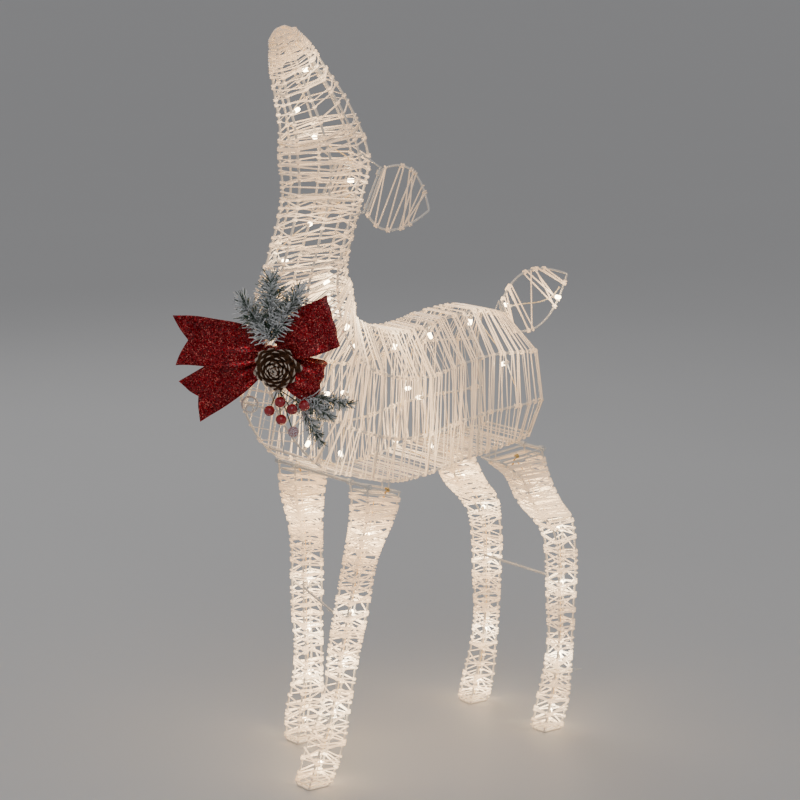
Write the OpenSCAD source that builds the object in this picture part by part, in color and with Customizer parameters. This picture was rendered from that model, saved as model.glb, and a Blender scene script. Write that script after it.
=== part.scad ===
// Light-up yard doe: a bent wire frame wound with clear twine, lit from inside,
// looking upwards, with a ribbon, pine cone and berry spray tied to its chest.
// The doe faces -X, its left side is -Y, and it stands on Z = 0.

/* [Overall] */
// Torso length from chest to rump
body_length = 370; // [300:5:460]
// Torso width between the side wires
body_width = 148; // [116:2:180]
// Height of the hip rails above the ground
hip_height = 367; // [300:5:450]
// Torso depth from belly wires to back wires
torso_depth = 175; // [140:5:215]
// Height of the nose above the withers
neck_height = 360; // [290:5:440]
// Distance from the centre plane to each leg's middle
leg_stance = 76; // [64:1:92]

/* [Wire and twine] */
// Diameter of the main frame wire
wire_d = 3; // [2.4:0.1:3.8]
// Diameter of the leg, ear and tail wire
light_wire_d = 2.6; // [2:0.1:3.2]
// Thickness of the wound twine layer
twine_t = 1.6; // [1.2:0.1:2.2]
// Gap between a frame wire and the twine over it
twine_gap = 0.4; // [0.3:0.1:0.8]

/* [Hips] */
// Diameter of the two hip rails that the legs turn on
rail_d = 4; // [3.2:0.2:5]
// Radial clearance in every turning eye
eye_clearance = 0.08; // [0.04:0.01:0.1]
// Wall of a leg eye
eye_wall = 1.6; // [1.2:0.1:2.2]
// Length of a leg eye along its rail
eye_length = 7; // [5:0.5:10]

/* [Legs] */
// Length of a front leg's top, front to back
front_leg_top = 48; // [40:1:56]
// Length of a rear leg's top, front to back
rear_leg_top = 68; // [58:1:76]
// Diameter of the cross bars between the legs
cross_bar_d = 3; // [2.4:0.2:4]

/* [Ears and tail] */
// Length of an ear from its pin to its tip
ear_length = 72; // [58:1:88]
// Width of an ear at its widest
ear_width = 70; // [56:1:84]
// Diameter of the pins that the ears and tail turn on
pin_d = 2.6; // [2.2:0.1:3.2]
// Length of the tail loop from its pin to its tip
tail_length = 114; // [92:2:138]
// Width of the tail loop
tail_width = 68; // [56:1:80]

/* [Lights] */
// Diameter of an LED lens
bulb_d = 5; // [4:0.2:6]
// Length of an LED lens
bulb_length = 8; // [6:0.5:10]
// Diameter of the light string's wire
string_d = 1.6; // [1.2:0.1:2]
// Distance of the light string inside the twine
string_inset = 8; // [7:0.5:12]
// Bore of the lead inlet under the belly
inlet_bore = 6; // [4.8:0.2:7.2]

/* [Chest spray] */
// Width of the ribbon
ribbon_w = 63; // [50:1:76]
// Thickness of the ribbon
ribbon_t = 1.2; // [1:0.1:1.6]
// Diameter of the pine cone
cone_d = 58; // [48:1:68]
// Diameter of a berry
berry_d = 13; // [11:0.5:16]

/* [Hidden] */
$fn = 32;
wire_r = wire_d / 2;
thin_r = light_wire_d / 2;
rail_r = rail_d / 2;
pin_r = pin_d / 2;
wire_sides = 6;
bead = 1.2;                  // rounded wire tip over wire radius
weld_bite = wire_d / 10;     // how far crossing wires melt into each other
layer = wire_r + twine_gap;  // wire centre to the inside of the twine

white = [0.93, 0.92, 0.9];
clear = [0.96, 0.95, 0.9, 0.6];
gold = [0.83, 0.66, 0.32];
glow = [1, 0.86, 0.55];
red = [0.55, 0.03, 0.06];
brown = [0.3, 0.19, 0.12];
green = [0.16, 0.32, 0.16];

// The nominal model's own sizes, which the tables below are written for.
length_k = body_length / 370;
width_k = body_width / 148;
depth_k = torso_depth / 175;
neck_k = neck_height / 360;
withers = 555;
hip_ref = 367;
function sz(z) = hip_height + (min(z, withers) - hip_ref) * depth_k
    + max(z - withers, 0) * neck_k;

// Sections of the trunk, rump to nose: x, z, tilt, half depth, half width,
// half width between the belly or throat wires, and how far the sides bulge back.
sections = [
    [ 152, 460,  -9,  84, 66, 44, 26],
    [ 105, 463,   0,  93, 71, 58,  0],
    [  50, 457,   0,  94, 73, 61,  0],
    [   0, 447,   2,  94, 74, 61,  0],
    [ -48, 447,   4,  97, 74, 60,  0],
    [-100, 463,   9, 100, 72, 57,  0],
    [-126, 481,  22, 106, 69, 50,  0],
    [-150, 520,  42,  95, 61, 38,  0],
    [-154, 562,  62,  78, 54, 26,  0],
    [-147, 606,  78,  57, 47, 19,  0],
    [-132, 652,  84,  51, 43, 17,  0],
    [-117, 702,  92,  50, 43, 17,  0],
    [-113, 750,  88,  56, 46, 19,  0],
    [-127, 800,  70,  45, 38, 16,  0],
    [-146, 840,  64,  35, 31, 13,  0],
    [-161, 874,  64,  26, 24, 10,  0],
    [-172, 898,  66,  15, 14,  6,  0],
];
neck_from = 7.5;
nose_at = len(sections) - 1;
half_ring = [22.5, 67.5, 112.5, 157.5];
ring = [for (s = [0 : 7]) s < 4 ? half_ring[s] : 360 - half_ring[7 - s]];

function catmull(a, b, c, d, t) = 0.5 * (2 * b + (c - a) * t
    + (2 * a - 5 * b + 4 * c - d) * t * t + (3 * b - 3 * c + d - a) * t * t * t);
function row(table, i) = table[max(0, min(len(table) - 1, i))];
function along(table, t) = let (i = min(floor(t), len(table) - 2))
    catmull(row(table, i - 1), row(table, i), row(table, i + 1), row(table, i + 2), t - i);
function unit(v) = v / norm(v);
function mix3(a, b, t) = a + (b - a) * t;

function centre(s) = [s[0] * length_k, 0, sz(s[1])];
function up_of(s) = [sin(s[2]), 0, cos(s[2])];
function ahead_of(s) = [-cos(s[2]), 0, sin(s[2])];
function deep(s) = s[3] * (s[1] < withers ? depth_k : sqrt(length_k));
function side_y(s, k) = let (a = ring[k]) (k == 3 ? s[5] : k == 4 ? -s[5] : s[4] * sin(a)) * width_k;

// Wire k of the trunk at place t, moved outwards by grow.
function trunk(t, k, grow = 0) = let (s = along(sections, t), a = ring[k])
    centre(s) + up_of(s) * (deep(s) + grow) * cos(a) + [0, side_y(s, k) + grow * sin(a), 0]
    - ahead_of(s) * s[6] * abs(sin(a));
// A place on the straight between two neighbouring wires, moved inwards.
function inside(t, around, inset) = let (k = floor(around) % 8, f = around - floor(around),
    p = mix3(trunk(t, k), trunk(t, (k + 1) % 8), f), c = centre(along(sections, t)))
    p + unit(c - p) * inset;

// --- Swept wires ---
function tangents(p, closed) = let (n = len(p)) [for (i = [0 : n - 1])
    unit(closed ? p[(i + 1) % n] - p[(i + n - 1) % n] : p[min(i + 1, n - 1)] - p[max(i - 1, 0)])];
function carry(t, i = 0, u = [0, 0, 0]) = i == len(t) ? [] :
    let (v = i > 0 ? unit(u - (u * t[i]) * t[i])
        : unit(cross(t[0], abs(t[0][2]) < 0.9 ? [0, 0, 1] : [1, 0, 0])))
    concat([v], carry(t, i + 1, v));
function sweep_points(p, r, sides, closed, turn) = let (t = tangents(p, closed), u = carry(t))
    [for (i = [0 : len(p) - 1]) let (v = cross(t[i], u[i])) for (j = [0 : sides - 1])
        p[i] + r * (cos(360 * j / sides + turn) * u[i] + sin(360 * j / sides + turn) * v)];
function sweep_faces(n, sides, closed) = concat(
    [for (i = [0 : (closed ? n - 1 : n - 2)]) for (j = [0 : sides - 1]) let (m = (i + 1) % n,
        a = i * sides + j, b = i * sides + (j + 1) % sides,
        c = m * sides + (j + 1) % sides, d = m * sides + j) each [[a, c, b], [a, d, c]]],
    closed ? [] : [for (j = [1 : sides - 2]) [0, j, j + 1]],
    closed ? [] : [for (j = [1 : sides - 2]) [(n - 1) * sides, (n - 1) * sides + j + 1, (n - 1) * sides + j]]);
module wire(p, r, closed = false, sides = wire_sides, turn = 0)
    polyhedron(sweep_points(p, r, sides, closed, turn), sweep_faces(len(p), sides, closed), convexity = 8);
module wire_tip(p, r) translate(p) hull() sphere(r * bead, $fn = 6);
module rod(a, b, r) {
    d = b - a;
    translate(a) rotate([0, acos(d[2] / norm(d)), atan2(d[1], d[0])]) cylinder(h = norm(d), r = r);
}
module eye(middle, axis, bore, wall, long) {
    a = middle - axis * long / 2;
    translate(a) rotate([0, acos(axis[2]), atan2(axis[1], axis[0])]) difference() {
        cylinder(h = long, r = bore + wall);
        translate([0, 0, -1]) cylinder(h = long + 2, r = bore);
    }
}

// --- Skins of wound twine: a closed skin through rings of points ---
function skin_faces(rings, n) = concat(
    [for (i = [0 : rings - 2]) for (j = [0 : n - 1]) let (a = i * n + j, b = i * n + (j + 1) % n,
        c = (i + 1) * n + (j + 1) % n, d = (i + 1) * n + j) each [[a, b, c], [a, c, d]]],
    [for (j = [0 : n - 1]) [rings * n, (j + 1) % n, j]],
    [for (j = [0 : n - 1]) [rings * n + 1, (rings - 1) * n + j, (rings - 1) * n + (j + 1) % n]]);
function mean(p) = let (n = len(p)) [for (a = [0 : 2]) [for (q = p) q[a]] * [for (q = p) 1] / n];
module skin(loops) {
    n = len(loops[0]);
    polyhedron(concat([for (l = loops) each l], [mean(loops[0]), mean(loops[len(loops) - 1])]),
        skin_faces(len(loops), n), convexity = 4);
}
// An optional hole lets the supply lead through from its gland at the given place.
module hollow_skin(outer, inner, lead_hole = undef) difference() {
    skin(outer);
    skin(inner);
    if (lead_hole != undef) translate(lead_hole) cylinder(h = 2 * inlet_length, r = inlet_bore / 2 + 0.6);
}

// --- Trunk ---
trunk_steps = 2;
module trunk_wires(from, to) {
    for (k = [0 : 7])
        wire([for (i = [0 : (to - from) * trunk_steps]) trunk(from + i / trunk_steps, k)], wire_r);
    for (k = [0 : 7]) wire_tip(trunk(from, k), wire_r);
}
// Hoops lie inside the long wires and are welded to each where they cross.
module trunk_hoop(t) wire(trunk_loop(t, weld_bite - wire_d), wire_r, closed = true);
body_hoops = [0, 1.5, 3, 4.5, 6];
neck_hoops = [8, 9.5, 11, 12.5, 14, 15.5];
module body_frame() color(white) {
    trunk_wires(0, neck_from);
    for (t = body_hoops) trunk_hoop(t);
    trunk_hoop(neck_from - 0.5);
}
neck_gap = 0.04;
module neck_head_frame() color(white) {
    from = neck_from + neck_gap;
    for (k = [0 : 7]) {
        wire([for (i = [0 : 17]) trunk(from + i * (nose_at - from) / 17, k)], wire_r);
        wire_tip(trunk(nose_at, k), wire_r);
    }
    for (t = neck_hoops) trunk_hoop(t);
    trunk_hoop(nose_at);
}
function trunk_loop(t, grow) = [for (k = [7 : -1 : 0]) trunk(t, k, grow)];
function shifted(l, v) = [for (p = l) p + v];
rump_cap = layer + twine_t;
module body_twine() color(clear) {
    steps = [for (i = [0 : 14]) i * neck_from / 14];
    back = -ahead_of(sections[0]);
    front = ahead_of(along(sections, neck_from));
    hollow_skin(
        concat([shifted(trunk_loop(0, layer + twine_t), back * rump_cap)],
            [for (t = steps) trunk_loop(t, layer + twine_t)]),
        concat([shifted(trunk_loop(0, layer), back * layer)],
            [for (i = [0 : 13]) trunk_loop(steps[i], layer)],
            [shifted(trunk_loop(neck_from, layer), -front * twine_t)]),
        inlet_at);
}
module neck_head_twine() color(clear) {
    from = neck_from + neck_gap;
    steps = [for (i = [0 : 17]) from + i * (nose_at - from) / 17];
    front = ahead_of(along(sections, from));
    tip = ahead_of(sections[nose_at]);
    hollow_skin(
        concat([for (t = steps) trunk_loop(t, layer + twine_t)],
            [shifted(trunk_loop(nose_at, layer + twine_t - 4), tip * (rump_cap + 3))]),
        concat([shifted(trunk_loop(from, layer), front * twine_t)],
            [for (i = [1 : 17]) trunk_loop(steps[i], layer)],
            [shifted(trunk_loop(nose_at, layer - 4), tip * (layer + 3))]));
}

// --- Hip rails, saddles and legs ---
front_hip = [-119 * length_k, 0, hip_height - 3];
rear_hip = [152 * length_k, 0, hip_height + 10 * depth_k];
leg_side_top = 36;
rail_reach = leg_stance + leg_side_top / 2 + eye_length / 2 + 3;
module hip_rail(hip) color(white) translate(hip + [0, -rail_reach, 0]) rotate([-90, 0, 0])
    cylinder(h = 2 * rail_reach, r = rail_r);
module front_hip_rail() hip_rail(front_hip);
module rear_hip_rail() hip_rail(rear_hip);

// Legs as boxes of four wires: height share, front to back, side to side,
// and how far the middle lies behind the hip, for the left and the right leg.
front_legs = [
    [1.000, 48, 36,   24,   24],
    [0.885, 40, 31,   20,   23],
    [0.745, 28, 25,    2,   28],
    [0.560, 28, 25,  -13,   29],
    [0.440, 26, 23,  -23,   29],
    [0.330, 24, 22,  -30,   31],
    [0.220, 26, 23,  -40,   29],
    [0.120, 34, 28,  -53,   25],
    [0.000, 30, 26,  -70,   19],
];
rear_legs = [
    [1.000, 68, 36,  -34,  -34],
    [0.910, 42, 32,  -10,  -10],
    [0.810, 41, 30,   11,   11],
    [0.740, 38, 28,   34,   34],
    [0.680, 31, 24,   45,   45],
    [0.580, 28, 24,   50,   50],
    [0.455, 26, 22,   50,   50],
    [0.310, 22, 20,   50,   50],
    [0.195, 24, 21,   45,   45],
    [0.100, 29, 24,   38,   38],
    [0.000, 28, 24,   28,   28],
];
corners = [[-1, -1], [1, -1], [1, 1], [-1, 1]];
function leg_top_k(table) = table == front_legs ? front_leg_top / 48 : rear_leg_top / 68;
// One corner wire of a leg: side is -1 on the left, c picks the corner.
function leg_corner(table, hip, drop, side, t, c, grow = 0) = let (s = along(table, t),
    k = mix(leg_top_k(table), 1, min(t, 1)), lean = side < 0 ? s[3] : s[4],
    z0 = mix(foot_z + foot_step, hip[2], s[0]),
    tip = max(0, 1 - t) * drop * (1 + table_sign(table) * corners[c][0]) / 2)
    [hip[0] + lean * k * length_k + corners[c][0] * (s[1] * k / 2 + grow),
     side * leg_stance + corners[c][1] * (s[2] / 2 + grow), z0 - tip];
function mix(a, b, t) = a + (b - a) * t;
function table_sign(table) = table == front_legs ? 1 : -1;
leg_drop = [12, 8];
foot_z = thin_r;
foot_step = 0.9;
module leg_frame(table, hip, drop, side) color(white) {
    last = len(table) - 1;
    for (c = [0 : 3])
        wire([for (i = [0 : last]) i == 0 ? leg_start(table, hip, drop, side, c)
            : leg_corner(table, hip, drop, side, i, c)], thin_r);
    hoop_inset = (weld_bite - light_wire_d) / sqrt(2);
    for (t = [0.3, 1, 3, last - 2])
        wire(leg_loop(table, hip, drop, side, t, hoop_inset), thin_r, closed = true, turn = 11);
    wire(top_loop(table, hip, drop, side), thin_r, turn = 17);
    wire(leg_loop(table, hip, drop, side, last, -0.35, -foot_step), thin_r, closed = true, turn = 30);
    for (c = [0 : 3]) {
        wire_tip(leg_start(table, hip, drop, side, c) + [0.1, 0.15, 0.2], thin_r);
        wire_tip(leg_corner(table, hip, drop, side, last, c) + [0.1, 0.15, 0.9], thin_r);
    }
}
// Wires that meet the rail stop in the wall of its eye, clear of the bore.
eye_grip = rail_r + eye_clearance + thin_r * bead + 0.35;
function leg_start(table, hip, drop, side, c) = let (a = leg_corner(table, hip, drop, side, 0, c))
    corners[c][0] == table_sign(table) ? a
    : a + unit(leg_corner(table, hip, drop, side, 0.5, c) - a) * eye_grip;
top_sink = [0, 0, -1.1];
function top_loop(table, hip, drop, side) = let (order = table_sign(table) > 0 ? [0, 1, 2, 3] : [1, 0, 3, 2],
    p = [for (c = order) leg_corner(table, hip, drop, side, 0, c, -0.35) + top_sink])
    [p[0] + unit(p[1] - p[0]) * eye_grip, p[1], p[2], p[3] + unit(p[2] - p[3]) * eye_grip];
function leg_loop(table, hip, drop, side, t, grow, lift = 0) =
    [for (c = [0 : 3]) leg_corner(table, hip, drop, side, t, c, grow) + [0, 0, lift]];
twine_top = 0.35;
module leg_twine(table, hip, drop, side) color(clear) {
    last = len(table) - 1;
    far = last - 0.12;
    steps = [for (i = [0 : 12]) twine_top + i * (far - twine_top) / 12];
    g = thin_r + twine_gap;
    hollow_skin([for (t = steps) leg_loop(table, hip, drop, side, t, g + twine_t)],
        concat([leg_loop(table, hip, drop, side, steps[0], g, -twine_t)],
            [for (i = [1 : 11]) leg_loop(table, hip, drop, side, steps[i], g)],
            [leg_loop(table, hip, drop, side, far, g, twine_t)]));
}
module leg_eyes(hip) color(white)
    for (side = [-1, 1]) for (edge = [-1, 1])
        eye(hip + [0, side * leg_stance + edge * leg_side_top / 2, 0], [0, 1, 0],
            rail_r + eye_clearance, eye_wall, eye_length);
module front_leg_eyes() leg_eyes(front_hip);
module rear_leg_eyes() leg_eyes(rear_hip);
module left_front_leg_frame() leg_frame(front_legs, front_hip, leg_drop[0], -1);
module right_front_leg_frame() leg_frame(front_legs, front_hip, leg_drop[0], 1);
module left_rear_leg_frame() leg_frame(rear_legs, rear_hip, leg_drop[1], -1);
module right_rear_leg_frame() leg_frame(rear_legs, rear_hip, leg_drop[1], 1);
module left_front_leg_twine() leg_twine(front_legs, front_hip, leg_drop[0], -1);
module right_front_leg_twine() leg_twine(front_legs, front_hip, leg_drop[0], 1);
module left_rear_leg_twine() leg_twine(rear_legs, rear_hip, leg_drop[1], -1);
module right_rear_leg_twine() leg_twine(rear_legs, rear_hip, leg_drop[1], 1);

// Cross bar between the inner frames of a pair of legs
module front_cross_bar() color(white) rod(bar_end(front_legs, front_hip, 3, -1), bar_end(front_legs, front_hip, 3, 1),
    cross_bar_d / 2);
module rear_cross_bar() color(white) rod(bar_end(rear_legs, rear_hip, 5.4, -1), bar_end(rear_legs, rear_hip, 5.4, 1),
    cross_bar_d / 2);
// A bar ends on the inner front wire of each leg.
function bar_end(table, hip, t, side) = leg_corner(table, hip, 0, side, t, side < 0 ? 3 : 0);

// Inverted U clips on the belly wires, which the leg tops rise into.
module saddle(place, side) {
    legs_x = 5;
    tall = 9;
    for (e = [-1, 1])
        translate(place + [e * legs_x, 0, -tall]) cylinder(h = tall, r = thin_r * 0.7);
    translate(place + [-legs_x - thin_r * 0.7, 0, 0]) rotate([0, 90, 0])
        cylinder(h = 2 * (legs_x + thin_r * 0.7), r = thin_r * 0.7 + 0.15);
}
saddle_back = 30;
module hip_saddles(hip, back, t) color(white)
    for (side = [-1, 1]) let (p = trunk(t, side < 0 ? 4 : 3))
        saddle([p[0], side * (abs(p[1]) + layer + 1), p[2] - 1], side);
module front_hip_saddles() hip_saddles(front_hip, saddle_back, 4.25);
module rear_hip_saddles() hip_saddles(rear_hip, -saddle_back, 1.1);

// --- Ears and tail: a leaf of wire in its own plane, turning on a pin ---
ear_root = [-76 * length_k, -46 * width_k, sz(713)];
ear_up = unit([38, 4, 74]);
ear_aim = [58, -45, -18];
ear_out = unit(ear_aim - (ear_aim * ear_up) * ear_up);
tail_root = [168 * length_k, 0, sz(530)];
tail_out = [cos(24.8), 0, sin(24.8)];
tail_up = [-sin(24.8), 0, cos(24.8)];
// A place in a leaf's plane: along its length, then across it.
function leaf(root, out, up, a, b, c = 0) = root + out * a + up * b + cross(out, up) * c;
function leaf_half(u, width, root_width) = let (bulge = sin(180 * pow(u, 0.8)))
    mix(root_width, 0, u * u * u) / 2 + (width - root_width * 0.75) / 2 * bulge;
leaf_u = [0, 0.08, 0.2, 0.35, 0.5, 0.65, 0.78, 0.88, 0.95];
function leaf_outline(length, width, root_width, start, inset) = let (n = len(leaf_u),
    half = [for (u = leaf_u) [start + inset + (length - start - 2 * inset) * u, leaf_half(u, width, root_width) - inset]])
    concat(half, [[length - inset, 0]], [for (i = [n - 1 : -1 : 0]) [half[i][0], -half[i][1]]]);
eye_short = 6;
pin_bore = pin_r + eye_clearance;
leaf_start = pin_bore + 1.2 + thin_r * 0.9;
module leaf_frame(root, out, up, length, width, root_width) color(white) {
    outline = [for (p = leaf_outline(length, width, root_width, leaf_start, 0)) leaf(root, out, up, p[0], p[1])];
    wire(outline, thin_r, closed = true);
}
module leaf_twine(root, out, up, length, width, root_width) color(clear) {
    n = cross(out, up);
    multmatrix([[out[0], up[0], n[0], root[0]], [out[1], up[1], n[1], root[1]],
        [out[2], up[2], n[2], root[2]], [0, 0, 0, 1]])
        translate([0, 0, -twine_t / 2]) linear_extrude(twine_t)
            polygon(leaf_outline(length, width, root_width, leaf_start, thin_r + twine_gap));
}
module leaf_eyes(root, up, root_width) color(white)
    for (e = [-1, 1]) eye(root + up * e * (root_width / 2 - eye_short), up, pin_bore, 1.2, eye_short);
module leaf_pin(root, up, root_width, feet, reach) color(white) {
    rod(root - up * (root_width / 2 + reach), root + up * (root_width / 2 + reach), pin_r);
    for (f = feet) rod(root + up * f[0], f[1], pin_r * 0.8);
}
function mirrored(v, side) = [v[0], side * -v[1], v[2]];
ear_root_w = 0.8 * ear_width;
tail_root_w = 0.6 * tail_width;
module ear_frame(side) leaf_frame(mirrored(ear_root, side), mirrored(ear_out, side), mirrored(ear_up, side),
    ear_length, ear_width, ear_root_w);
module ear_twine(side) leaf_twine(mirrored(ear_root, side), mirrored(ear_out, side), mirrored(ear_up, side),
    ear_length, ear_width, ear_root_w);
module ear_eyes(side) leaf_eyes(mirrored(ear_root, side), mirrored(ear_up, side), ear_root_w);
module ear_pin(side) let (r = mirrored(ear_root, side), e = ear_root_w / 2)
    leaf_pin(r, mirrored(ear_up, side), ear_root_w, [
        [e + 1, trunk(12.15, side < 0 ? 6 : 1)],
        [-e - 1, trunk(10.6, side < 0 ? 6 : 1)]], 2);
module left_ear_frame() ear_frame(-1);
module right_ear_frame() ear_frame(1);
module left_ear_twine() ear_twine(-1);
module right_ear_twine() ear_twine(1);
module left_ear_eyes() ear_eyes(-1);
module right_ear_eyes() ear_eyes(1);
module ear_pins() {
    ear_pin(-1);
    ear_pin(1);
}
module tail_frame() leaf_frame(tail_root, tail_out, tail_up, tail_length, tail_width, tail_root_w);
module tail_twine() leaf_twine(tail_root, tail_out, tail_up, tail_length, tail_width, tail_root_w);
module tail_eyes() leaf_eyes(tail_root, tail_up, tail_root_w);
tail_foot = tail_root_w / 2 + 4;
module tail_pin() leaf_pin(tail_root, tail_up, tail_root_w, [
    [tail_foot, mix3(trunk(0, 0), trunk(0, 7), 0.5)],
    [-tail_foot, mix3(trunk(0, 0), trunk(0, 7), 0.5) + [4, 0, -14]]], 5);

// --- Lights ---
string_r = string_d / 2;
socket_r = bulb_d / 2 - 0.3;
socket_len = 5;
module bulb_lens(p, d) translate(p + d * (socket_len + 0.02))
    rotate([0, acos(d[2]), atan2(d[1], d[0])]) rotate_extrude()
        polygon(concat([[0, 0], [bulb_d / 2, 0]],
            [for (a = [0 : 22.5 : 90]) [cos(a) * bulb_d / 2, bulb_length - (1 - sin(a)) * bulb_d / 2]]));
module bulb_socket(p, d) translate(p - d * (string_r + 0.8))
    rotate([0, acos(d[2]), atan2(d[1], d[0])]) cylinder(h = socket_len + string_r + 0.8, r = socket_r);
// The trunk's string winds round inside the twine: [from, to, turns, first side, steps, bulb every]
body_string = [0.5, 7.2, 2.6, 5.2, 64, 4];
neck_string = [8.0, 15.2, 2.2, 6.4, 44, 6];
function string_t(s, i) = mix(s[0], s[1], i / s[4]);
function string_at(s, i) = inside(string_t(s, i), s[3] + 8 * s[2] * i / s[4], string_inset);
function string_in(s, i) = unit(centre(along(sections, string_t(s, i))) - string_at(s, i));
function bulb_steps(s) = [for (i = [s[5] / 2 : s[5] : s[4]]) i];
module trunk_string(s) color(gold) wire([for (i = [0 : s[4]]) string_at(s, i)], string_r);
module string_bulbs(s) color(glow) for (i = bulb_steps(s)) bulb_lens(string_at(s, i), string_in(s, i));
module trunk_sockets(s) color(clear) for (i = bulb_steps(s)) bulb_socket(string_at(s, i), string_in(s, i));
module body_light_string() trunk_string(body_string);
module neck_light_string() trunk_string(neck_string);
module trunk_bulbs() {
    string_bulbs(body_string);
    string_bulbs(neck_string);
}
module trunk_bulb_sockets() {
    trunk_sockets(body_string);
    trunk_sockets(neck_string);
}
// A leg's string runs down inside it near one corner, with the bulbs across.
string_side = 4;
function leg_core(table, hip, side, t) = mean(leg_loop(table, hip, 0, side, t, 0)) + [-string_side, -string_side, 0];
function leg_bulb_places(table) = [for (i = [1 : 5]) i * (len(table) - 1.6) / 5];
across = unit([1, 1, 0]);
module leg_strings(table, hip) color(gold) for (side = [-1, 1])
    wire([for (i = [0 : 12]) leg_core(table, hip, side, mix(0.5, len(table) - 1.3, i / 12))], string_r);
module leg_bulbs(table, hip) color(glow) for (side = [-1, 1]) for (t = leg_bulb_places(table))
    bulb_lens(leg_core(table, hip, side, t), across);
module leg_sockets(table, hip) color(clear) for (side = [-1, 1]) for (t = leg_bulb_places(table))
    bulb_socket(leg_core(table, hip, side, t), across);
module front_leg_light_strings() leg_strings(front_legs, front_hip);
module rear_leg_light_strings() leg_strings(rear_legs, rear_hip);
module front_leg_bulbs() leg_bulbs(front_legs, front_hip);
module rear_leg_bulbs() leg_bulbs(rear_legs, rear_hip);
module front_leg_bulb_sockets() leg_sockets(front_legs, front_hip);
module rear_leg_bulb_sockets() leg_sockets(rear_legs, rear_hip);
tail_bulb_places = [[16, 8, -1], [80, -14, 1]];
module tail_bulbs() color(glow) for (b = tail_bulb_places)
    bulb_lens(leaf(tail_root, tail_out, tail_up, b[0], b[1], b[2] * (string_r + 2.4)), [0, -b[2], 0]);
module tail_bulb_sockets() color(clear) for (b = tail_bulb_places)
    bulb_socket(leaf(tail_root, tail_out, tail_up, b[0], b[1], b[2] * (string_r + 2.4)), [0, -b[2], 0]);
// Gland under the belly that the supply lead plugs into.
inlet_length = 18;
inlet_wall = 3;
inlet_at = mix3(trunk(1.75, 3), trunk(1.75, 4), 0.5) - [0, 0, layer + twine_t + inlet_length];
module lead_inlet() color(clear) translate(inlet_at) difference() {
    cylinder(h = inlet_length, r = inlet_bore / 2 + inlet_wall);
    translate([0, 0, -1]) cylinder(h = inlet_length + 2, r = inlet_bore / 2);
}

// --- Chest hook and spray ---
module ring_at(p, turn, ring_r, r) translate(p) rotate([90, 0, turn]) rotate_extrude()
    translate([ring_r, 0]) circle(r);
spray_turn = -42;
spray_right = [cos(spray_turn), sin(spray_turn), 0];
spray_out = [sin(spray_turn), -cos(spray_turn), 0];
chest_corner = trunk(7.9, 4);
spray_at = chest_corner + spray_right * 8 + spray_out * 19 + [0, 0, 12];
// A place on the spray: right, up and out from the knot.
function spray(v) = spray_at + spray_right * v[0] + [0, 0, v[1]] + spray_out * v[2];
hook_r = 9.5;
module chest_hook() color(white) {
    place = mix3(trunk(7.1, 3), trunk(7.1, 4), 0.5) - [hook_r * 0.75 + layer + twine_t + 2, 0, 0];
    ring_at(place, spray_turn, hook_r, thin_r);
    ring_at(place + [0, 0, -hook_r + 4.6] + spray_out * (2 * thin_r + 0.4), spray_turn, 4.5, thin_r * 0.8);
}
// Ribbon pieces: right, up, out of the middle line, lean of the width, width share.
module ribbon(path) color(red) {
    half = [for (s = path) let (w = ribbon_w / 2 * s[4]) [sin(s[3]) * w, cos(s[3]) * w]];
    n = len(path);
    skin([for (i = [0 : n - 1]) let (s = path[i], a = path[max(0, i - 1)], b = path[min(n - 1, i + 1)],
        d = unit([b[0] - a[0], 0, b[2] - a[2]]), e = [-d[2], 0, d[0]] * ribbon_t / 2)
        [for (q = [[1, 1], [1, -1], [-1, -1], [-1, 1]])
            spray([s[0] + half[i][0] * q[0] + e[0] * q[1], s[1] + half[i][1] * q[0], s[2] + e[2] * q[1]])]]);
}
upper_tail = [[-7, 4, -3, 0, 0.4], [-26, 6, 1, 2, 0.72], [-48, 8, 6, 3, 0.88], [-71, 10, 5, 2, 0.9],
    [-95, 11, -1, 0, 0.92], [-114, 11, -2, -2, 0.93]];
lower_tail = [[-7, -5, -6, -20, 0.4], [-24, -15, -8, -26, 0.66], [-46, -30, -5, -30, 0.78],
    [-67, -44, -8, -31, 0.83], [-86, -56, -12, -29, 0.84], [-99, -64, -13, -28, 0.85]];
upper_loop = [[7, 6, 5, 0, 0.4], [22, 16, 17, -6, 0.7], [42, 26, 26, -10, 0.9], [62, 34, 25, -12, 0.96],
    [75, 38, 13, -12, 0.96], [73, 37, 1, -12, 0.94], [58, 32, -4, -10, 0.85], [38, 23, -3, -6, 0.66],
    [7, 8, -3, 0, 0.4]];
lower_loop = [[7, -8, 3, 20, 0.3], [20, -18, 10, 22, 0.5], [36, -28, 15, 22, 0.68], [52, -35, 12, 20, 0.76],
    [60, -37, 3, 20, 0.78], [52, -34, -6, 20, 0.74], [36, -27, -9, 22, 0.62], [7, -9, -7, 20, 0.3]];
module ribbon_upper_tail() ribbon(upper_tail);
module ribbon_lower_tail() ribbon(lower_tail);
module ribbon_upper_loop() ribbon(upper_loop);
module ribbon_lower_loop() ribbon(lower_loop);
module facing(v) translate(spray(v)) rotate([90, 0, spray_turn]) children();
module ribbon_knot() color(red) facing([0, 0, -1]) rotate_extrude()
    polygon([[0, -6], [4, -6], [6, -3], [6, 3], [4, 6], [0, 6]]);
cone_deep = 0.62 * cone_d;
cone_place = [10, -16, 29];
module pine_cone() color(brown) facing(cone_place) rotate_extrude()
    polygon([[0, -cone_deep * 0.5], [cone_d * 0.2, -cone_deep * 0.48], [cone_d * 0.4, -cone_deep * 0.25],
        [cone_d * 0.5, -cone_deep * 0.02], [cone_d * 0.45, cone_deep * 0.18], [cone_d * 0.32, cone_deep * 0.36],
        [cone_d * 0.14, cone_deep * 0.48], [0, cone_deep * 0.5]]);
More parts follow.
